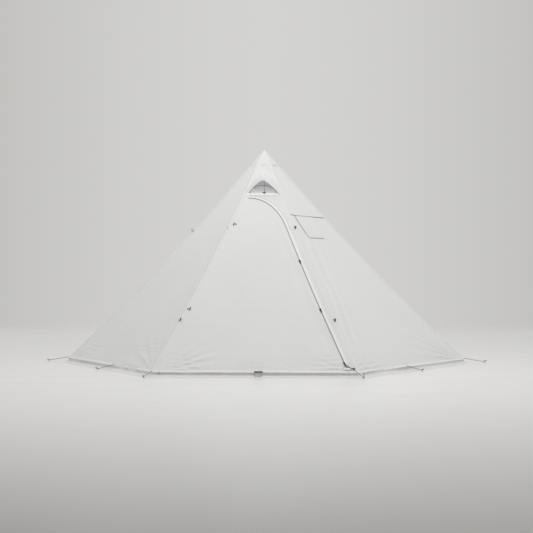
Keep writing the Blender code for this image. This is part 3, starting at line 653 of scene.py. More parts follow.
# A strip sewn along a line of a wall: (offset, n) pairs give its section as a ring
def strip(shape, wall, line, section, step=0.02):
    line = resample(line, step)
    moved = {offset: movedLine(line, offset) for offset in {pair[0] for pair in section}}
    far, rings, uvRows = 0.0, [], []
    for k, here in enumerate(line):
        if k:
            far += math.dist(here, line[k - 1])
        rings.append([wall.laid(*moved[offset][k], n) for offset, n in section])
        uvRows.append([(offset, far) for offset, n in section])
    shape.loft(rings, uvRows)


# The section of a plain strip, between two offsets and two levels
def boxSection(near, far, low, high):
    return [(near, low), (near, high), (far, high), (far, low)]


def sewAlong(shape, wall, line, offset, n):
    line = movedLine(resample(line, 0.03), offset)
    shape.stitches([wall.laid(x, s, n) for x, s in line], [wall.normal(s) for x, s in line])


# The door: its zip runs from the arch's left end over and down to the hem
door = {"hingeFoot": 0.075, "hingeHead": 0.060, "zipInset": 0.082, "spring": front.top - 1.012,
        "crown": front.top - 0.642, "archRise": 0.20, "archRun": 0.19, "gap": 0.0006, "hingeGap": 0.0004,
        "step": 0.021, "fine": (0.55, 0.30, 0.0115)}


def zipAcross(s):
    return front.right(s) - door["zipInset"]


def hingePoint(s):
    return (front.left(s) + blend(door["hingeFoot"], door["hingeHead"], s / door["crown"]), s)


def bezier(a, b, c, d, part):
    rest = 1 - part
    return tuple(rest ** 3 * p + 3 * rest ** 2 * part * q + 3 * rest * part ** 2 * r + part ** 3 * e
                 for p, q, r, e in zip(a, b, c, d))


def zipLine(foot):
    spring = door["spring"]
    low = (zipAcross(spring), spring)
    slope = Vector((zipAcross(spring - 0.2) - low[0], -0.2)).normalized()
    steer = (low[0] - slope.x * door["archRise"], low[1] - slope.y * door["archRise"])
    end = hingePoint(door["crown"])
    arch = [bezier(end, (end[0] + door["archRun"], end[1]), steer, low, k / 40) for k in range(41)]
    return arch + [(zipAcross(s), s) for s in (blend(spring, foot, k / 30) for k in range(1, 31))]


# The vent's opening, an arch over a level sill
vent = {"half": 0.125, "sill": front.top - 0.570, "rise": 0.095, "hoodHalf": 0.145,
        "hoodSill": front.top - 0.584, "hoodOut": 0.030, "hoodRise": 0.129}


def ventOutline(inset):
    half, rise = vent["half"] - inset, vent["rise"] - inset
    return [(half * math.cos(math.pi * k / 24),
             vent["sill"] + inset * (k in (0, 24)) + rise * math.sin(math.pi * k / 24)) for k in range(25)]


def wallLoop(wall, inset=0.001, count=36):
    places = [blend(0, wall.top - base["topLeftOut"], k / count) for k in range(count + 1)]
    return [(wall.right(s) - inset, s) for s in places] + [(wall.left(s) + inset, s) for s in places[::-1]]


# Cloth with finer meshing where creases run together at a foot
def wallCloth(name, stands, wall, loops, body="tent"):
    across, high, pitch = door["fine"]
    boxes = [(wall.leftFoot, 0.0, wall.leftFoot + across, high, pitch),
             (wall.rightFoot - across, 0.0, wall.rightFoot, high, pitch)]
    shape = Shape()
    shape.sheet(loops, door["step"], wall.laid, -base["cloth"], 0, boxes, wall.look["seed"])
    shape.make(name, "white_cloth", body, [stands])


def frontAndDoor():
    hinge = [hingePoint(blend(0, door["crown"], k / 30)) for k in range(30)]
    outline = wallLoop(front) + hinge + movedLine(zipLine(0), door["gap"])
    wallCloth("front_wall_cloth", "front_wall", front, [outline, ventOutline(0)])
    outline = [(x - door["hingeGap"], s) for x, s in hinge] + movedLine(zipLine(0), -door["gap"])
    wallCloth("door_cloth", "door_panel", front, [outline], "door")


frontAndDoor()
print("front wall and door")
for wallName in ("front_left", "back_left", "back", "back_right"):
    wallCloth(wallName + "_wall_cloth", wallName + "_wall", walls[wallName], [wallLoop(walls[wallName])])
print("plain walls")

# Zip tapes with a coil of teeth on each, and the flap that covers the zip
zipLook = {"tapeHead": 0.0010, "tapeFoot": 0.0050, "lift": 0.0004, "thick": 0.0007, "tooth": 0.0030,
           "toothHead": 0.0010, "toothFoot": 0.0030, "toothHigh": 0.0014, "toothHalf": 0.0009,
           "shortest": 0.0012, "shift": 0.0008, "foot": 0.046, "inner": 0.0002}


def zipHalf(name, side, body, node):
    shape = Shape()
    line = resample(zipLine(zipLook["foot"]), 0.012)
    last = len(line) - 1
    low, high = zipLook["lift"], zipLook["lift"] + zipLook["thick"]
    inner = movedLine(line, zipLook["inner"] * side)
    rings, uvRows, far = [], [], 0.0
    for k, here in enumerate(line):
        if k:
            far += math.dist(here, line[k - 1])
        wide = blend(zipLook["tapeHead"], zipLook["tapeFoot"], k / last) * side
        ahead = Vector(line[min(k + 1, last)]) - Vector(line[max(k - 1, 0)])
        push = Vector((-ahead.y, ahead.x)).normalized() * wide
        outer = (here[0] + push.x, here[1] + push.y)
        rings.append([front.laid(*inner[k], low), front.laid(*outer, low), front.laid(*outer, high),
                      front.laid(*inner[k], high)])
        uvRows.append([(0, far), (wide, far), (wide, far), (0, far)])
    shape.loft(rings, uvRows)
    teeth = [Vector(point) for point in resample(zipLine(zipLook["foot"]), zipLook["tooth"])]
    for k, (here, after) in enumerate(zip(teeth, teeth[1:])):
        if (here - after).length < zipLook["shortest"]:
            continue
        way = (after - here).normalized()
        push = Vector((-way.y, way.x)) * side
        wide = blend(zipLook["toothHead"], zipLook["toothFoot"], k / len(teeth))
        middle = here + push * wide * 0.42 + way * (zipLook["shift"] * side)
        corner = [middle + push * wide / 2 * a + way * zipLook["toothHalf"] * b
                  for a, b in ((-1, -1), (1, -1), (1, 1), (-1, 1))]
        lowRing = [front.laid(c.x, c.y, high) for c in corner]
        lift = front.normal(middle.y) * zipLook["toothHigh"]
        centre = sum(lowRing, Vector()) / 4
        shape.loft([lowRing, [p + lift * 0.7 for p in lowRing], [p.lerp(centre, 0.35) + lift for p in lowRing]])
    shape.make(name, "grey_zip", body, [node])


zipHalf("wall_zip", 1, "tent", "wall_zip_tape")
zipHalf("door_zip", -1, "door", "door_zip_tape")

flapLook = {"clear": 0.0060, "wide": 0.0233, "lift": 0.0003, "thick": 0.0014, "rise": 0.0046, "foot": 0.085,
            "seam": (0.0002, 0.0016)}


# Sewn down at its far side, the flap stands off the wall towards the zip
def stormFlap():
    shape = Shape()
    near, far = flapLook["clear"], flapLook["clear"] + flapLook["wide"]
    low, high, rise = flapLook["lift"], flapLook["lift"] + flapLook["thick"], flapLook["rise"]
    section = [(near, rise - 0.0012), (near - 0.0010, rise), (near, rise + 0.0014), (near + 0.0025, rise + 0.0012),
               (near + 0.006, rise * 0.70 + 0.0016), (near + 0.012, rise * 0.25 + high), (far - 0.005, high),
               (far - 0.0006, high), (far, low), (far - 0.005, low), (near + 0.012, rise * 0.25 + low),
               (near + 0.006, rise * 0.70)]
    line = zipLine(flapLook["foot"])
    strip(shape, front, line, section, 0.015)
    sewAlong(shape, front, line, far - 0.0035, high)
    shape.make("storm_flap_tape", "white_tape", "tent", ["storm_flap"])
    # A grey strip along the flap's sewn edge: painted shade in the groove where the flap is sewn down
    seam = Shape()
    start, end = flapLook["seam"]
    strip(seam, front, zipLine(door["spring"] - 0.05), boxSection(far + start, far + end, 0.0002, 0.0012), 0.015)
    seam.make("storm_flap_seam", "grey_cord", "tent")


stormFlap()

sliderLook = {"lift": 0.0012, "long": 0.028, "wide": 0.017, "high": 0.007, "pull": 0.018, "pullWide": 0.011,
              "places": {"lower": 0.103, "middle": 0.700, "upper": 1.276}}


# A slider: a waisted body with a bridge, and a pull tab with a hole
def zipSlider(name, s):
    shape = Shape()
    wide, high, long, lift = [sliderLook[key] for key in ("wide", "high", "long", "lift")]
    centre = Vector((zipAcross(s), s))
    way = (Vector((zipAcross(s + 0.02), s + 0.02)) - Vector((zipAcross(s - 0.02), s - 0.02))).normalized()
    side = Vector((way.y, -way.x))

    def place(across, along, n):
        flat = centre + side * across + way * along
        return front.flat(flat.x, flat.y, n)

    rings = []
    for k in range(13):
        part = k / 12
        half = wide / 2 * (0.70 + 0.30 * smooth(part, 0.3, 0.75)) * (1 - 0.10 * smooth(abs(part - 0.5), 0.42, 0.5))
        along = (part - 0.5) * long
        top = high * (0.62 + 0.10 * math.sin(math.pi * part))
        rings.append([place(half * across, along, lift + top * level) for across, level in
                      ((-1, 0), (1, 0), (1, 0.7), (0.72, 1), (-0.72, 1), (-1, 0.7))])
    shape.loft(rings)
    arch = [place(0, (k / 10 - 0.5) * long * 0.62, lift + high * 0.62 + high * 0.33 * math.sin(math.pi * k / 10))
            for k in range(11)]
    shape.tube(arch, 0.0011, 8)
    half, tail = sliderLook["pullWide"] / 2, -long / 2 - sliderLook["pull"]
    end = [(half * math.sin(math.pi * k / 8), tail + half - half * math.cos(math.pi * k / 8)) for k in range(5)]
    outline = end + [(half, -long * 0.30), (half * 0.6, -long * 0.2), (-half * 0.6, -long * 0.2),
                     (-half, -long * 0.30)] + [(-x, y) for x, y in end[::-1]][:-1]
    hole = circle((0, tail + half), half * 0.45, 16)
    shape.sheet([outline, hole], 0.0035, place, lift + high * 0.66, lift + high * 0.98)
    shape.make(name + "_slider_body", "black_plastic", name + "_slider", [name + "_zip_slider"])


for sliderName, sliderPlace in sliderLook["places"].items():
    zipSlider(sliderName, sliderPlace)
print("zip")

# Ridge seams: a folded tape with a bead along the ridge and two rows of stitches
ridgeLook = {"wing": 0.015, "bead": 0.0020, "beadHalf": 0.0022, "thick": 0.0012, "step": 0.03, "sewn": 0.0105,
             "fold": (0.006, 0.0004), "upper": 0.375, "lower": 0.785}


# The walls to the left and right of a corner, as seen from outside
def ridgeWings(corner):
    return [next(walls[name] for name, ends in wallEnds.items() if ends[end] == corner) for end in (1, 0)]


def ridgeTape(corner):
    shape = Shape()
    leftWall, rightWall = ridgeWings(corner)
    sides = ((-1, leftWall, leftWall.rightFoot), (1, rightWall, rightWall.leftFoot))
    low, high = base["gap"], base["gap"] + ridgeLook["thick"]
    foot = leftWall.share(base["hemBand"] + 0.0005)
    head = leftWall.share(leftWall.top - base["cap"] + 0.012)
    count = int((foot - head) * leftWall.top / ridgeLook["step"])
    wing, bead, (foldAcross, foldHigh) = ridgeLook["wing"], ridgeLook["bead"], ridgeLook["fold"]
    section = [(wing, low), (wing, high), (foldAcross, high + foldHigh)]
    rings, uvRows, lines = [], [], {-1: ([], []), 1: ([], [])}
    for k in range(count + 1):
        t = blend(foot, head, k / count)
        left, right = [[wall.laid(end * spread(t) + sign * across, wall.rise(t), n) for across, n in section]
                       for sign, wall, end in sides]
        middle = [ridgePoint(corner, t, high + bead * part) for part in (0.6, 1, 0.6)]
        middle[0] = middle[0] + leftWall.along * -ridgeLook["beadHalf"]
        middle[2] = middle[2] + rightWall.along * ridgeLook["beadHalf"]
        ring = left + middle + right[::-1] + [ridgePoint(corner, t, low)]
        rings.append(ring)
        uvRows.append([(j * 0.004, (foot - t) * leftWall.top) for j in range(len(ring))])
        for sign, wall, end in sides:
            points, normals = lines[sign]
            points.append(wall.laid(end * spread(t) + sign * ridgeLook["sewn"], wall.rise(t), high + 0.0002))
            normals.append(wall.normal(wall.rise(t)))
    shape.loft(rings, uvRows)
    for points, normals in lines.values():
        shape.stitches(points, normals)
    shape.make(corner + "_ridge_seam", "seam_cloth", "tent", [corner + "_ridge_tape"])


loopLook = {"half": 0.0125, "reach": 0.024, "wide": 0.009, "thick": 0.0020, "foot": (0.030, 0.0030, 0.010)}


# A flat webbing loop that stands out of a seam
def webLoop(shape, middle, along, out):
    half, reach, wide, thick = [loopLook[key] for key in ("half", "reach", "wide", "thick")]
    across = along.cross(out).normalized()
    rings = []
    for k in range(15):
        angle = math.pi * k / 14
        point = middle + along * half * math.cos(angle) + out * reach * math.sin(angle)
        away = (along * math.cos(angle) / half + out * math.sin(angle) / reach).normalized()
        rings.append([point + across * wide / 2 * a + away * thick / 2 * b
                      for a, b in ((-1, -1), (1, -1), (1, 1), (-1, 1))])
    shape.loft(rings)


def ridgeLoops():
    dark, pale = Shape(), Shape()
    for corner in corners:
        for t in [ridgeLook["upper"]] + ([ridgeLook["lower"]] if corner.startswith("front") else []):
            shape = pale if corner in ("front_left", "right") and t == ridgeLook["upper"] else dark
            along = (ridgePoint(corner, t - 0.02, 0) - ridgePoint(corner, t + 0.02, 0)).normalized()
            out = (ridgePoint(corner, t, 1.0) - ridgePoint(corner, t, 0.0)).normalized()
            if corner == "front_left" and t == ridgeLook["lower"]:
                out = (out + front.along * 0.9 + up * 0.5).normalized()
            webLoop(shape, ridgePoint(corner, t, 0.0022), along, out)
            shape.block(ridgePoint(corner, t, 0.0042), (along, out, along.cross(out)), loopLook["foot"], 0.0007)
    dark.make("ridge_loops", "grey_web", "tent")
    pale.make("pale_ridge_loop", "seam_cloth", "tent")


for cornerName in corners:
    ridgeTape(cornerName)
ridgeLoops()
print("ridges")

# Webbing round the hem, with a stitched upper edge
hemLook = {"band": 0.022, "low": 0.0003, "high": 0.0025, "step": 0.03, "sewn": 0.0175, "end": 0.01,
           "wallGap": (0.002, 0.0065), "doorGap": (0.001, 0.0048)}
hemSection = [(0.0, hemLook["low"]), (-0.0005, hemLook["high"] - 0.0005), (0.0035, hemLook["high"]),
              (hemLook["band"] - 0.003, hemLook["high"]), (hemLook["band"], hemLook["high"] - 0.0008),
              (hemLook["band"], hemLook["low"])]


# Stops are (wall, start, end, the corner that follows or None)
def hemRun(name, stops, body, stands):
    shape, rings = Shape(), []
    for wall, start, end, corner in stops:
        count = max(2, int((end - start) / hemLook["step"]))
        places = [blend(start, end, k / count) for k in range(count + 1)]
        for x in places if corner is None else places[:-1]:
            if x > start or not rings:
                rings.append([wall.laid(x, s, n) for s, n in hemSection])
        if corner:
            one = ridgeWings(corner)[0]
            rings.append([ridgePoint(corner, one.share(s), n) for s, n in hemSection])
        level = hemLook["sewn"]
        shape.stitches([wall.laid(x, level, hemLook["high"]) for x in places], [wall.normal(level)] * len(places))
    shape.loft(rings)
    shape.make(name, "white_tape", body, [stands])


def hems():
    end, (leftGap, rightGap) = hemLook["end"], hemLook["wallGap"]
    stops = [(front, zipAcross(0) + rightGap, front.rightFoot - end, "front_right")]
    for name in ("front_right", "back_right", "back", "back_left", "front_left"):
        wall = walls[name]
        stops.append((wall, wall.leftFoot + end, wall.rightFoot - end, wallEnds[name][1]))
    stops.append((front, front.leftFoot + end, hingePoint(0)[0] - leftGap, None))
    hemRun("hem_band", stops, "tent", "hem_webbing")
    leftGap, rightGap = hemLook["doorGap"]
    stops = [(front, hingePoint(0)[0] + leftGap, zipAcross(0) - rightGap, None)]
    hemRun("door_hem_band", stops, "door", "door_hem_webbing")


hems()
print("hem")

# The snow skirt: sewn behind the hem, it drops steeply and lies out on the ground
skirtLook = {"front": 0.15, "side": 0.11, "end": 0.036, "taper": 0.30, "gap": 0.0008, "shear": 1.1,
             "thick": 0.0007, "across": 13, "step": 0.022, "ripple": 0.0060, "corner": 0.02}


def skirtRow(wall, x, reach, seed):
    points = []
    for k in range(skirtLook["across"] + 1):
        part = k / skirtLook["across"]
        if part < 0.25:
            inner = part / 0.25
            recess = 0.012 if wall in (front, walls["back"]) else 0.002
            out = blend(-0.008, 0.010, inner ** 2) - recess * math.sin(math.pi * inner)
            level = blend(0.034, 0.0035, inner ** 0.75)
        else:
            outer = (part - 0.25) / 0.75
            out = blend(0.010, reach, outer)
            wave = 0.5 + 0.9 * hum(x * 5.5 + out * 2, out * 9, seed) + 0.35 * hum(x * 16, out * 14, seed + 3)
            hump = math.sin(math.pi * min(outer * 0.9 + 0.05, 1)) ** 0.7 * (1 - outer ** 3)
            level = blend(0.0030, 0.0004, smooth(outer, 0.0, 0.8)) + skirtLook["ripple"] * max(wave, 0) * hump
            out += 0.004 * hum(x * 6, 0.5, seed + 6) * outer
        points.append((out, level))
    return points


# Stops are (wall, x, reach, shear, corner, seed), with two reaches at a corner
def skirtPanel(name, stops, body, stands):
    shape = Shape()
    rows, uvRows, far, wide = [], [], 0.0, 0.0
    for wall, x, reach, shear, corner, seed in stops:
        if corner:
            one, two = ridgeWings(corner)
            first, second = [skirtRow(one, one.rightFoot, part, seed) for part in reach]
            turn = one.out.dot(two.out)
            row = []
            for (u, level), (v, _) in zip(first, second):
                p, q = (u - v * turn) / (1 - turn * turn), (v - u * turn) / (1 - turn * turn)
                row.append(corners[corner] + one.out * p + two.out * q + up * level)
        else:
            foot = wall.along * x + wall.out * wall.distance
            row = [foot + (wall.out + wall.along * shear) * out + up * level
                   for out, level in skirtRow(wall, x, reach, seed)]
        if rows:
            far += (row[-1] - rows[-1][len(row) - 1]).length
        rows.append([p + up * skirtLook["thick"] for p in row] + row[::-1])
        flat = [(k * 0.012, far) for k in range(len(row))]
        uvRows.append(flat + flat[::-1])
        wide = max(wide, sum((b - a).length for a, b in zip(row, row[1:])))
    shape.loft(rows, uvRows)
    shape.make(name, "skirt_cloth", body, [stands], sharp=60)


# Stops along one wall; a full reach is tapered down to the end reaches
def skirtRun(wall, start, end, reachStart, reachEnd, seed, shearStart=0.0, shearEnd=0.0, full=None, taper=None):
    stops = []
    count = max(2, int((end - start) / skirtLook["step"]))
    for k in range(count + 1):
        x = blend(start, end, k / count)
        reach = blend(reachStart, reachEnd, k / count)
        if full is not None:
            near = min(1.0, (x - start) / taper[0] if taper[0] else 1.0)
            nearEnd = min(1.0, (end - x) / taper[1] if taper[1] else 1.0)
            reach = min(blend(reachStart, full, near), blend(reachEnd, full, nearEnd))
        stops.append((wall, x, reach, blend(shearStart, shearEnd, k / count), None, seed))
    return stops


def skirts():
    left, right = walls["front_left"], walls["front_right"]
    gap, taper, shear, inset = [skirtLook[key] for key in ("gap", "taper", "shear", "corner")]
    out, side, end = [skirtLook[key] for key in ("front", "side", "end")]
    hinge, zipped = hingePoint(0)[0], zipAcross(0)
    stops = skirtRun(left, left.leftFoot + gap, left.rightFoot - inset, end, side, 2.0, full=side, taper=(taper, 0))
    stops.append((None, 0, (side, out), 0, "front_left", 2.0))
    stops += skirtRun(front, front.leftFoot + inset, hinge - gap, out, out, 2.0, 0.0, shear)
    skirtPanel("front_left_skirt_cloth", stops, "tent", "front_left_skirt")
    stops = skirtRun(front, zipped + gap, front.rightFoot - inset, out, out, 3.0)
    stops.append((None, 0, (out, side), 0, "front_right", 3.0))
    stops += skirtRun(right, right.leftFoot + inset, right.rightFoot - gap, side, end, 3.0, full=side,
                      taper=(0, taper))
    skirtPanel("front_right_skirt_cloth", stops, "tent", "front_right_skirt")
    stops = skirtRun(front, hinge + gap, zipped - gap, out, out, 4.0, shear, 0.0)
    skirtPanel("door_skirt_cloth", stops, "door", "door_skirt")
    for number, name in enumerate(("back_right", "back", "back_left")):
        wall = walls[name]
        reach, ends = (out, taper / 2) if name == "back" else (side, taper)
        stops = skirtRun(wall, wall.leftFoot + gap, wall.rightFoot - gap, end, end, 5.0 + number, full=reach,
                         taper=(ends, ends))
        skirtPanel(name + "_skirt_cloth", stops, "tent", name + "_skirt")


skirts()
print("skirt")

# The doubled patch over the apex, gathered a little, with a dome over the pole's tip
capLook = {"lift": 0.0022, "clear": 0.0012, "thick": 0.0012, "rows": 14, "gather": 0.0030, "columns": 12,
           "dome": ((0.0120, -0.012), (0.0098, -0.004), (0.0066, 0.0010), (0.0030, 0.0026), (0.0, 0.0032),
                    (0.0, 0.0016), (0.0052, 0.0006), (0.0086, -0.0045), (0.0108, -0.012))}


def apexCap():
    shape = Shape()
    order = list(corners)
    low, high = front.share(front.top - base["cap"]), front.share(front.top - 0.004)
    rows = []
    for j in range(capLook["rows"] + 1):
        t = blend(low, high, j / capLook["rows"])
        window = smooth(j / capLook["rows"], -0.2, 0.5) * (1 - smooth(j / capLook["rows"], 0.45, 0.9))
        row = []
        for corner, after in zip(order, order[1:] + order[:1]):
            for m in range(capLook["columns"]):
                part = m / capLook["columns"]
                gather = math.sin(math.pi * 6 * part) ** 2 * math.sin(math.pi * part)
                lift = (capLook["lift"] + capLook["gather"] * gather) * window + capLook["clear"]
                row.append(ridgePoint(corner, t, lift).lerp(ridgePoint(after, t, lift), part))
        rows.append(row)
    inner = [[p + (Vector((0, 0, p.z)) - p).normalized() * capLook["thick"] for p in row] for row in rows]
    uvRows = [[(k * 0.006, j * 0.014) for k in range(len(rows[0]))] for j in range(len(rows) * 2)]
    shape.loft(rows + inner[::-1], uvRows, loop=True)
    first, second = rows[0] + rows[0][:1], rows[1] + rows[1][:1]
    shape.stitches([blend(a, b, 0.35) for a, b in zip(first, second)],
                   [(p - Vector((0, 0, p.z))).normalized() for p in second])
    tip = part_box("pole_tip")[1].z
    shape.turned([(radius, tip + level) for radius, level in capLook["dome"]], steps=36, loop=True)
    shape.make("apex_patch", "white_cloth", "tent", ["apex_cap"], sharp=50)


apexCap()

# The vent: a net in an arched opening, under a hood that flows out of the wall
hoodLook = {"rows": 22, "columns": 56, "crown": 0.262, "flare": 0.05, "thick": 0.0012, "rimClear": 0.0021,
            "pleat": 0.0032, "pleats": 6, "rimTape": 0.0085, "rightMore": 0.018}


# From the rim, at part 0, to the line that is sewn to the wall, at part 1
def hoodPoint(part, k):
    sill = front.flat(0, vent["hoodSill"], 0)
    angle = math.pi * k / hoodLook["columns"]
    u, arch = math.cos(angle), math.sin(angle)
    x = u * (vent["hoodHalf"] + hoodLook["rightMore"] * max(u, 0))
    # Straight flanks and a rounded peak
    peak = 1 - (u * u + 0.0004) ** 0.775
    rim = Vector((x, sill.y - vent["hoodOut"] * arch - hoodLook["rimClear"],
                  sill.z + vent["hoodRise"] * peak + 0.0013))
    level = vent["sill"] + (front.top - hoodLook["crown"] - vent["sill"]) * arch ** 1.25
    normal, uphill = front.normal(level), front.uphill(level)
    sewn = front.laid(x * (1 + hoodLook["flare"] * (1 - arch)) * blend(1, 0.80, arch ** 3), level, 0.0011)
    reach = (sewn - rim).length
    first = rim + (uphill * 0.75 + normal * 0.42 * arch) * reach * 0.42
    second = sewn - uphill * reach * 0.42 + normal * 0.0005
    turn = 2 * math.pi * (k / hoodLook["columns"]) * hoodLook["pleats"]
    fold = math.sin(turn + 0.8 + 1.4 * hum(part, k * 0.05, 4))
    push = hoodLook["pleat"] * fold * smooth(part, 0.0, 0.45) * (1 - smooth(part, 0.72, 1)) * arch ** 2
    return Vector(bezier(rim, first, second, sewn, part)) + normal * push


def hood():
    shape = Shape()
    columns, rows = hoodLook["columns"], hoodLook["rows"]
    outer = [[hoodPoint(j / rows, k) for k in range(columns + 1)] for j in range(rows + 1)]
    inner = [[p - front.normal(vent["sill"]) * hoodLook["thick"] for p in row] for row in outer]
    flat = [[(k * 0.008, j * 0.010) for k in range(columns + 1)] for j in range(rows + 1)]
    shape.loft([a + b[::-1] for a, b in zip(outer, inner)], [row + row[::-1] for row in flat])
    shape.make("hood_cloth", "hood_cloth", "tent", ["vent_hood"], sharp=60)
    rim, rings = Shape(), []
    points, size = outer[0], hoodLook["rimTape"]
    for k, point in enumerate(points):
        inward = (outer[1][k] - point).normalized()
        way = (points[min(k + 1, columns)] - points[max(k - 1, 0)]).normalized()
        out = inward.cross(way).normalized()
        if out.y > 0:
            out = -out
        section = ((-0.0012, -0.0022), (-0.0022, 0), (-0.0012, 0.0012), (size, 0.0012), (size, 0.0002),
                   (size, -0.0022))
        rings.append([point + inward * a + out * b for a, b in section])
    rim.loft(rings)
    rim.make("hood_rim_tape", "white_tape", "tent")


hood()

ventLook = {"net": 0.0002, "arch": boxSection(-0.005, 0.005, 0.0002, 0.0012), "below": 0.0165, "past": 0.028,
            "sill": [(-0.013, 0.0003), (-0.0134, 0.0046), (-0.011, 0.0050), (0.0, 0.0032), (0.013, 0.0014),
                     (0.013, 0.0003)]}


def ventParts():
    def slack(x, s, n):
        return front.flat(x, s, n - 0.002 + 0.0015 * hum(x * 9, s * 9, 2))

    net, arch, strap = Shape(), Shape(), Shape()
    net.sheet([ventOutline(0.0005)], 0.012, slack, -ventLook["net"], ventLook["net"])
    net.make("vent_net", "grey_mesh", "tent", ["vent_mesh"])
    strip(arch, front, ventOutline(-0.004)[::-1], ventLook["arch"], 0.012)
    arch.make("vent_arch_tape", "grey_zip", "tent")
    sill, past = vent["sill"] - ventLook["below"], vent["half"] + ventLook["past"]
    strip(strap, front, [(-past, sill), (past, sill)], ventLook["sill"], 0.015)
    sewAlong(strap, front, [(0.002 - past, sill), (past - 0.002, sill)], 0.010, 0.0019)
    # The strap under the sill takes the painted-light tape, near white and glowing against the hood's shadow
    strap.make("vent_seam_tape", "painted_light_tape", "tent")


ventParts()

propLook = {"across": 0.015, "foot": (0.026, 0.008, 0.004), "ball": 0.0045, "radius": 0.0019, "bar": 0.011,
            "barSizes": (0.0008, 0.0014, 0.0016, 0.0017, 0.0017, 0.0017, 0.0016, 0.0014, 0.0008),
            "knuckle": ((0.0, -0.0105), (0.0036, -0.0105), (0.0045, -0.0095), (0.0045, 0.0095), (0.0036, 0.0105),
                        (0.0, 0.0105))}


# The prop: a foot, and a strut of two tubes with a T bar at its head and a knuckle at its pivot
def prop():
    across, ball, radius = propLook["across"], propLook["ball"], propLook["radius"]
    thick = propLook["foot"][2]
    level = vent["sill"] - propLook["foot"][1] / 2 - 0.0006
    foot, strut = Shape(), Shape()
    axes = (front.along, front.uphill(level), front.normal(level))
    foot.block(front.flat(across, level, 0.0003 + thick / 2), axes, propLook["foot"], 0.0009)
    foot.make("prop_foot", "black_plastic", "tent", ["vent_prop_foot"])
    pivot = front.flat(across, level, 0.0006 + thick + ball)
    sill = front.flat(0, vent["hoodSill"], 0)
    head = Vector((across, sill.y - vent["hoodOut"], sill.z + vent["hoodRise"] - 0.006))
    strut.turned([(ball * math.sin(math.pi * k / 12), -ball * math.cos(math.pi * k / 12)) for k in range(13)],
                 pivot, up, 24)
    way, long = (head - pivot).normalized(), (head - pivot).length
    strut.turned([(0.0, 0.001), (radius, 0.002), (radius, long * 0.55), (radius * 0.82, long * 0.56),
                  (radius * 0.82, long - 0.012), (radius, long - 0.011), (radius, long - 0.001), (0.0, long)],
                 pivot, way, 20)
    bar = pivot + way * (long - 0.002)
    strut.tube([bar + front.along * (propLook["bar"] * k / 4) for k in range(-4, 5)], propLook["barSizes"], 12)
    strut.turned(propLook["knuckle"], pivot, front.along, 24)
    strut.make("prop_strut", "black_plastic", "prop", ["vent_prop"])


prop()
print("vent")

# The stove jack on the front right wall: window, heatproof patch, hanging flap
jack = {"left": -0.21, "right": 0.10, "top": 1.835, "bottom": 1.560, "corner": 0.035, "window": 0.045,
        "patch": 0.020, "hole": 0.055, "ring": 0.006,
        "binding": [(-0.0010, 0.0004), (-0.0010, 0.0030), (0.0028, 0.0030), (0.0028, 0.0018)],
        "seam": [(-0.0032, 0.0003), (-0.0032, 0.0016), (0.0, 0.0028), (0.0032, 0.0016), (0.0032, 0.0003)]}


def rounded(left, right, bottom, top, radius, squareTop=False):
    points = []
    for x, y, start in ((right, bottom, 270), (right, top, 0), (left, top, 90), (left, bottom, 180)):
        if squareTop and y == top:
            points.append((x, y))
            continue
        inside = (x - radius if x == right else x + radius, y + radius if y == bottom else y - radius)
        for k in range(9):
            angle = math.radians(start + 90 * k / 8)
            points.append((inside[0] + radius * math.cos(angle), inside[1] + radius * math.sin(angle)))
    return points


def jackLoop(edge, drop, radius, squareTop=False):
    return rounded(jack["left"] + edge, jack["right"] - edge, jack["bottom"] + edge, jack["top"] - drop, radius,
                   squareTop)


def stoveJack():
    wall = walls["front_right"]
    window = jackLoop(jack["window"], jack["window"], jack["corner"] / 2)
    wallCloth("front_right_wall_cloth", "front_right_wall", wall, [wallLoop(wall), window])
    centre = ((jack["left"] + jack["right"]) / 2, (jack["bottom"] + jack["top"]) / 2)
    patch, flap, dark, pale, seam = [Shape() for _ in range(5)]
    patch.sheet([jackLoop(jack["patch"], jack["patch"], jack["corner"]), circle(centre, jack["hole"], 48)], 0.012,
                wall.laid, -base["cloth"] - 0.0022, -base["cloth"] - 0.0002)
    ring = circle(centre, jack["hole"] + jack["ring"], 48)
    patch.stitches([wall.laid(x, s, -0.0012) for x, s in ring + ring[:1]], [wall.normal(centre[1])] * 49)
    patch.make("jack_patch", "heat_cloth", "tent", ["stove_jack_patch"])

    def puffed(x, s, n):
        inside = min(x - jack["left"], jack["right"] - x, s - jack["bottom"])
        return wall.laid(x, s, n + 0.0035 * smooth(inside, 0.0, 0.05) * (0.8 + 0.5 * hum(x * 8, s * 8, 11)))

    flap.sheet([jackLoop(0, 0.002, jack["corner"], True)], 0.014, puffed, 0.0006, 0.0018)
    flap.make("jack_flap_cloth", "white_cloth", "jack_flap", ["stove_jack_flap"])
    # Binding round the flap: dark grey along the left and bottom edges, painted shade for the shadow under the
    # flap's raised edge, and pale along the right
    edges = jackLoop(0.001, 0, jack["corner"], True)
    top = jack["top"] - 0.004
    strip(dark, wall, [(jack["left"] + 0.001, top)] + edges[11:] + edges[:1], jack["binding"], 0.012)
    dark.make("jack_flap_shadow_binding", "grey_web", "jack_flap")
    strip(pale, wall, edges[1:9] + [(jack["right"] - 0.001, top)], jack["binding"], 0.012)
    pale.make("jack_flap_pale_binding", "seam_cloth", "jack_flap")
    # The seam across the wall above the jack is dark grey: painted shade, the shadow line below the overlap of the
    # flap
    s = jack["top"] + 0.002
    line = [(wall.left(s) + 0.017, s + 0.014), (jack["left"] - 0.01, s + 0.001), (wall.right(s) - 0.017, s)]
    strip(seam, wall, line, jack["seam"], 0.02)
    seam.make("jack_seam", "grey_web", "tent")


stoveJack()
print("stove jack")

# Toggles for the rolled door, each with its loop of cord and the tab that the loop is sewn to
toggleLook = {"radius": 0.004, "waist": 0.72, "long": 0.032, "tabs": (0.0205, -0.0210),
              "places": {"upper": (0.040, 1.736), "lower": (0.034, 0.710)},
              "tab": (0.007, 0.020, 0.0022), "loop": (0.0048, 0.0044), "cord": 0.0011}


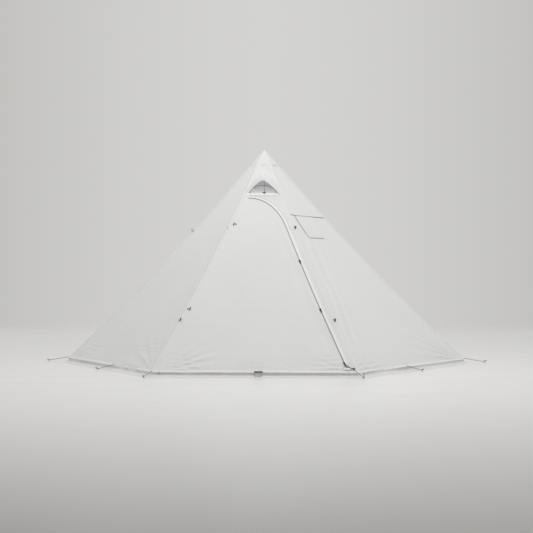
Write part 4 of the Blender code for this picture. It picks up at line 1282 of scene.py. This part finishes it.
def toggle(name, inset, s):
    half, radius, waist = toggleLook["long"] / 2, toggleLook["radius"], toggleLook["waist"]
    x, lift = front.left(s) + inset, radius + base["gap"]
    slope = Vector((front.left(s + 0.1) - front.left(s - 0.1), 0.2)).normalized()
    centre = front.flat(x, s, lift)
    axis = (front.flat(x + slope.x * 0.01, s + slope.y * 0.01, lift) - centre).normalized()
    shape = Shape()
    shape.turned([(0.0, -half), (radius * 0.7, -half + 0.0004), (radius, -half + 0.002), (radius, -0.004),
                  (radius * waist, -0.002), (radius * waist, 0.002), (radius, 0.004), (radius, half - 0.002),
                  (radius * 0.7, half - 0.0004), (0.0, half)], centre, axis, 28)
    shape.make(name + "_toggle_bar", "black_plastic", name + "_toggle", [name + "_door_toggle"])


def toggleLoops():
    tabs = Shape()
    wide, high = toggleLook["loop"]
    for (name, (inset, s)), across in zip(toggleLook["places"].items(), toggleLook["tabs"]):
        x = front.left(s) + inset
        normal, side = front.normal(s), front.along
        centre = front.flat(x, s, toggleLook["radius"] + base["gap"])
        arc = [centre + side * wide * math.cos(a) + normal * (high * math.sin(a))
               for a in (math.radians(-60 + 300 * k / 16) for k in range(17))]
        tail = front.laid(x + across * 0.84, s + 0.002, 0.0016)
        loop = Shape()
        loop.tube([tail, tail.lerp(arc[-1], 0.5)] + arc[::-1], toggleLook["cord"], 8)
        loop.make(name + "_toggle_loop", "grey_web", name + "_toggle")
        tabs.block(front.laid(x + across, s, 0.0013), (side, front.uphill(s), normal), toggleLook["tab"], 0.0006)
    tabs.make("toggle_tabs", "grey_web", "tent")


for toggleName, togglePlace in toggleLook["places"].items():
    toggle(toggleName, *togglePlace)
toggleLoops()

# The strap at the door's foot, its lead and eye, and the buckle beside it
strapLook = {"low": 0.034, "wide": 0.016, "sewn": 0.030, "reach": 0.064, "ring": 0.011, "hole": 0.006,
             "rows": (0.003, 0.013), "lead": boxSection(-0.005, 0.005, 0.0048, 0.0066), "eye": 0.0078,
             "eyeTube": 0.0019, "buckle": (0.010, 0.008)}
strapStart = (zipAcross(strapLook["low"]) - strapLook["sewn"], strapLook["low"] + strapLook["wide"] / 2)
strapEnd = (strapStart[0] + strapLook["reach"], strapStart[1])
buckleAcross = strapEnd[0] + strapLook["ring"] + 0.0003 + strapLook["buckle"][0]


def doorStrap():
    low, high = strapLook["low"], strapLook["low"] + strapLook["wide"]
    end = [(strapEnd[0] + strapLook["ring"] * math.sin(math.pi * k / 16),
            strapEnd[1] - strapLook["ring"] * math.cos(math.pi * k / 16)) for k in range(17)]
    web, lead, eye = Shape(), Shape(), Shape()
    web.sheet([[(strapStart[0], low)] + end + [(strapStart[0], high)], circle(strapEnd, strapLook["hole"], 24)],
              0.006, front.flat, 0.0028, 0.0044)
    for offset in strapLook["rows"]:
        line = [(strapStart[0] + 0.002, low + offset), (strapStart[0] + 0.026, low + offset)]
        web.stitches([front.flat(x, s, 0.0044) for x, s in line], [front.normal(s) for x, s in line])
    web.make("door_strap_web", "white_tape", "door", ["door_strap"])
    line = [(zipAcross(0.088) + 0.001, 0.088), (zipAcross(0.070) + 0.008, 0.070),
            (strapEnd[0] - 0.006, strapEnd[1] + 0.006)]
    strip(lead, front, line, strapLook["lead"], 0.01)
    lead.make("door_strap_lead", "grey_web", "door")
    eye.tube([front.flat(x, s, 0.0036) for x, s in circle(strapEnd, strapLook["eye"], 32)], strapLook["eyeTube"],
             10, loop=True)
    eye.make("door_strap_eye", "black_plastic", "door")


def doorBuckle():
    half, high = strapLook["buckle"]
    slots = [[(buckleAcross + a, strapEnd[1] + b) for a, b in ((-0.0072 + d, -0.0050), (-0.0022 + d, -0.0050),
                                                              (-0.0022 + d, 0.0050), (-0.0072 + d, 0.0050))]
             for d in (0, 0.0094)]
    outline = rounded(buckleAcross - half, buckleAcross + half, strapEnd[1] - high, strapEnd[1] + high, 0.0025)
    shape = Shape()
    shape.sheet([outline] + slots, 0.003, front.flat, 0.0032, 0.0080)
    shape.make("door_buckle_body", "black_plastic", "tent", ["door_buckle"])


doorStrap()
doorBuckle()
print("door fittings")

# Pegs, their cords and the long loops at the middle of each hem
pegLook = {"radius": 0.0035, "height": 0.020, "tall": 0.042, "hook": 0.022, "bend": 0.006, "sideOut": 0.20,
           "frontPast": 0.04, "frontOut": 0.18, "edgeOut": 0.16, "tieShift": 0.17}


def peg(name, place, away, tall):
    radius, bend = pegLook["radius"], pegLook["bend"]
    level = (pegLook["tall"] if tall else pegLook["height"]) - radius
    points = [place + up * 0.0006, place + up * (level - bend)]
    for k in range(1, 9):
        angle = math.pi / 2 * k / 8
        points.append(place + away * bend * (1 - math.cos(angle)) + up * (level - bend + bend * math.sin(angle)))
    tip = place + away * pegLook["hook"] + up * level
    points += [tip - away * 0.0016, tip - away * 0.0006, tip]
    shape = Shape()
    shape.tube(points, [radius] * (len(points) - 2) + [radius * 0.85, radius * 0.45], 16)
    shape.make(name + "_steel", "steel", "tent", [name])


cordLook = {"radius": 0.0025, "sag": 0.002, "loop": 0.002, "tieHeight": 0.008, "half": 0.0058, "loopSag": 0.001,
            "hitch": 0.0018, "door": (0.034, 0.080, 0.032)}


def cordPath(start, stop, sag, count=16):
    return [start.lerp(stop, k / count) - up * sag * 4 * (k / count) * (1 - k / count) for k in range(count + 1)]


def addCord(name, points, radius, stands, body):
    shape = Shape()
    shape.tube(points, radius)
    made = shape.make(name, "grey_cord", body, stands)


def hitch(name, place, level):
    shape = Shape()
    ring = pegLook["radius"] + 0.0019
    points = [place + Vector((ring * c, ring * s, level + 0.0016 * s)) for c, s in around(24)]
    shape.tube(points, cordLook["hitch"], 8, loop=True)
    return shape.make(name, "grey_cord", "tent")


# A loop of cord from the hem out round a peg and back, with the tab that holds it
def hemTie(name, wall, x, reach, half, body):
    start = wall.laid(x, 0.012, 0.0044)
    end = wall.along * x + wall.out * (wall.distance + reach) + up * cordLook["tieHeight"]
    side, sag = wall.along * half, cordLook["loopSag"]
    points = cordPath(start + side, end + side, sag, 10)[:-1]
    for k in range(13):
        angle = math.pi * k / 12
        points.append(end + side * math.cos(angle) + wall.out * half * math.sin(angle))
    points += cordPath(end - side, start - side, sag, 10)[1:]
    tab = Shape()
    tab.block(wall.laid(x, 0.004, 0.0052), (wall.along, wall.uphill(0.01), wall.normal(0.01)),
              (2 * half + 0.010, 0.016, 0.0050), 0.0012)
    tabPiece = tab.make(name + "_tab", "grey_web" if body == "door" else "white_tape", body)
    addCord(name, points, cordLook["loop"], [], body)


def pegsAndCords():
    for corner, foot in corners.items():
        across, along = math.copysign(1, foot.x), math.copysign(1, foot.y)
        if foot.y == 0:
            place = foot + Vector((across * pegLook["sideOut"], 0, 0))
        else:
            place = foot + Vector((across * pegLook["frontPast"], along * pegLook["frontOut"], 0))
        tall = corner == "front_right"
        peg(corner + "_peg", place, Vector((place.x - foot.x, place.y - foot.y, 0)).normalized(), tall)
        if tall:
            centre = front.flat(buckleAcross, strapEnd[1], 0.0056)
            start = centre - front.uphill(0) * (0.008 + 0.0019) + front.normal(0) * 0.00125
        else:
            middle = front.share(base["hemBand"] / 2)
            out = ridgePoint(corner, middle, 1.0) - ridgePoint(corner, middle, 0.0)
            start = ridgePoint(corner, middle, 0.0023) + out.normalized() * 0.0028
        flat = Vector((place.x - start.x, place.y - start.y, 0)).normalized()
        stop = place - flat * (pegLook["radius"] + 0.0003) + up * pegLook["height"] / 2
        knot = hitch(corner + "_hitch", place, pegLook["height"] / 2)
        addCord(corner + "_guy", cordPath(start, stop, cordLook["sag"]), cordLook["radius"], [corner + "_cord"],
                "tent")
    for name, wall in walls.items():
        if name == "front":
            continue
        towardsFront = {"front_left": 1, "front_right": -1}.get(name, 0)
        middle = (wall.leftFoot + wall.rightFoot) / 2 + towardsFront * pegLook["tieShift"]
        place = wall.along * middle + wall.out * (wall.distance + pegLook["edgeOut"])
        peg(name + "_edge_peg", place, wall.out, False)
        hemTie(name + "_hem_loop", wall, middle, pegLook["edgeOut"], cordLook["half"], "tent")
    hemTie("door_hem_loop", front, *cordLook["door"], "door")


pegsAndCords()
print("pegs and cords")

# The pole inside: foot, two tubes, the lock between them and the tip
pole = {"foot": 0.045, "seat": 0.008, "lower": 0.016, "upper": 0.014, "wall": 0.0012, "clear": 0.0004,
        "joint": 1.12, "overlap": 0.25, "lock": 0.023, "lockHigh": 0.050, "tip": 0.070, "tipRadius": 0.0045}


def polePart(name, finish, body, node, profile, steps=64, loop=False):
    shape = Shape()
    shape.turned(profile, steps=steps, loop=loop)
    shape.make(name, finish, body, [node])


def poleParts():
    gap, seat, joint = base["gap"], pole["seat"], pole["joint"]
    low, up0, inner = pole["lower"], pole["upper"], pole["upper"] - pole["wall"]
    bore = up0 + pole["clear"]
    polePart("pole_foot_rubber", "black_plastic", "tent", "pole_foot",
             [(0, seat), (low + gap, seat), (low + gap, 0.012), (0.019, 0.0124), (0.027, 0.012), (0.034, 0.0095),
              (0.042, 0.0048), (pole["foot"], 0.0035), (pole["foot"], 0.0006), (pole["foot"] - 0.0006, 0), (0, 0)])
    polePart("lower_pole_tube", "aluminium", "tent", "lower_pole",
             [(low, joint), (low, seat + gap), (bore, seat + gap), (bore, joint)], loop=True)
    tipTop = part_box("pole_tip")[1].z
    upperTop, bottom = tipTop - pole["tip"], joint - pole["overlap"]
    polePart("upper_pole_tube", "aluminium", "pole_top", "upper_pole",
             [(up0, upperTop), (up0, bottom), (inner, bottom), (inner, upperTop)], loop=True)
    polePart("pole_tip_cap", "black_plastic", "pole_top", "pole_tip",
             [(0, tipTop), (pole["tipRadius"] * 0.8, tipTop), (pole["tipRadius"], tipTop - 0.001),
              (up0 - 0.001, upperTop + 0.021), (up0, upperTop + 0.018), (up0, upperTop + gap), (0, upperTop + gap)],
             steps=48)
    top, foot, lock = joint + gap + pole["lockHigh"] / 2, joint - pole["lockHigh"] / 2, pole["lock"]
    outer = [(0.0184, top), (0.0215, top - 0.004), (lock, top - 0.0065)]
    for k in range(9):
        level = blend(top - 0.010, joint - 0.020, k / 8)
        outer += [(lock, level + 0.0012), (lock - 0.0010, level), (lock, level - 0.0012)]
    outer += [(lock, joint - 0.0238), (lock - 0.001, foot), (low + gap, foot), (low + gap, joint + gap),
              (bore, joint + gap), (bore, top)]
    polePart("pole_lock_collar", "black_plastic", "lock", "pole_lock", outer, loop=True)


poleParts()
print("pole")


def sheets():
    zipAcross(0) - hingePoint(0)[0]


sheets()
print("sheets")

# The floor: a dark near end, a light middle and a far end that fades into the backdrop. The dark near end is
# painted shade, the light falling off away from the tent
stageLook = {"near": (0.27, 0.26, 0.25), "mid": (0.945, 0.94, 0.93), "far": (0.93, 0.925, 0.91),
             "size": (30, 14, 30), "nearShadeRun": (-8.2, -2.8), "farRun": (0.0, 6.0), "fade": (4.5, 9.5),
             "rough": (0.21, 0.27)}


def addFloor():
    wide, close, deep = stageLook["size"]
    mesh = bpy.data.meshes.new("floor")
    mesh.from_pydata([(-wide, -close, 0), (wide, -close, 0), (wide, deep, 0), (-wide, deep, 0)], [], [(0, 1, 2, 3)])
    graph, shader = newMaterial("floor")
    place = graph.place("Object")
    depth = graph.parts(place)[1]
    # Painted shade: the base colour darkens towards the near end, standing in for light falling off
    rest = graph.ramp(depth, *stageLook["nearShadeRun"], 1.0, 0.0)
    tone = graph.mix(graph.math("SUBTRACT", 1.0, graph.math("MULTIPLY", rest, rest)), stageLook["near"],
                     stageLook["mid"])
    tone = graph.mix(graph.ramp(depth, *stageLook["farRun"], kind="SMOOTHSTEP"), tone, stageLook["far"])
    graph.fill(shader, {"Base Color": tone, "Specular IOR Level": 0.5,
                        "Roughness": graph.ramp(graph.grain(place, 3.0, 6.0), 0.0, 1.0, *stageLook["rough"]),
                        "Alpha": graph.ramp(depth, *stageLook["fade"], 1.0, 0.0, "SMOOTHSTEP")})
    floor = bpy.data.objects.new("floor", mesh)
    mesh.materials.append(materials["floor"])
    bpy.context.scene.collection.objects.link(floor)


addFloor()

# The backdrop is darker towards its sides, painted shade; turned is the camera's heading as x over y
lightLook = {"world": 0.70, "turned": 0.0516, "half": 0.24, "middle": (0.655, 0.65, 0.64),
             "side": (0.545, 0.54, 0.525), "aim": (0, -0.8, 0.9),
             "lamps": {"key": (33, (2.2, -1.6, 4.2), 2.0), "top": (14, (-1.2, -0.7, 3.6), 1.6)}}


def addLights():
    world = bpy.data.worlds.new("studio")
    bpy.context.scene.world = world
    world.use_nodes = True
    graph = Graph(world.node_tree)
    ambient = graph.fill(world.node_tree.nodes["Background"], {"Color": (1.0, 0.997, 0.99, 1),
                                                              "Strength": lightLook["world"]})
    parts = graph.parts(graph.place("Generated"))
    slant = graph.math("DIVIDE", parts[0], graph.math("MAXIMUM", graph.math("ABSOLUTE", parts[1]), 0.01))
    across = graph.math("ABSOLUTE", graph.math("ADD", slant, lightLook["turned"]))
    share = graph.math("MINIMUM", graph.math("DIVIDE", across, lightLook["half"]), 1.0)
    tone = graph.mix(graph.math("POWER", share, 1.6), lightLook["middle"], lightLook["side"])
    seen = graph.add("ShaderNodeBackground", {"Color": tone, "Strength": 1.0})
    rays = graph.add("ShaderNodeLightPath").outputs
    through = graph.math("MAXIMUM", rays["Is Glossy Ray"], rays["Is Transmission Ray"])
    shown = graph.math("MAXIMUM", rays["Is Camera Ray"], through)
    mixed = graph.add("ShaderNodeMixShader", {0: shown, 1: ambient.outputs[0], 2: seen.outputs[0]})
    graph.fill(world.node_tree.nodes["World Output"], {"Surface": mixed.outputs[0]})
    for name, (energy, place, size) in lightLook["lamps"].items():
        lamp = bpy.data.lights.new(name, "AREA")
        lamp.energy, lamp.size = energy, size
        holder = bpy.data.objects.new(name, lamp)
        holder.location = place
        holder.rotation_euler = (Vector(lightLook["aim"]) - Vector(place)).to_track_quat("-Z", "Y").to_euler()
        holder.visible_camera = False
        bpy.context.scene.collection.objects.link(holder)


addLights()
bpy.context.scene.view_settings.view_transform = "Standard"
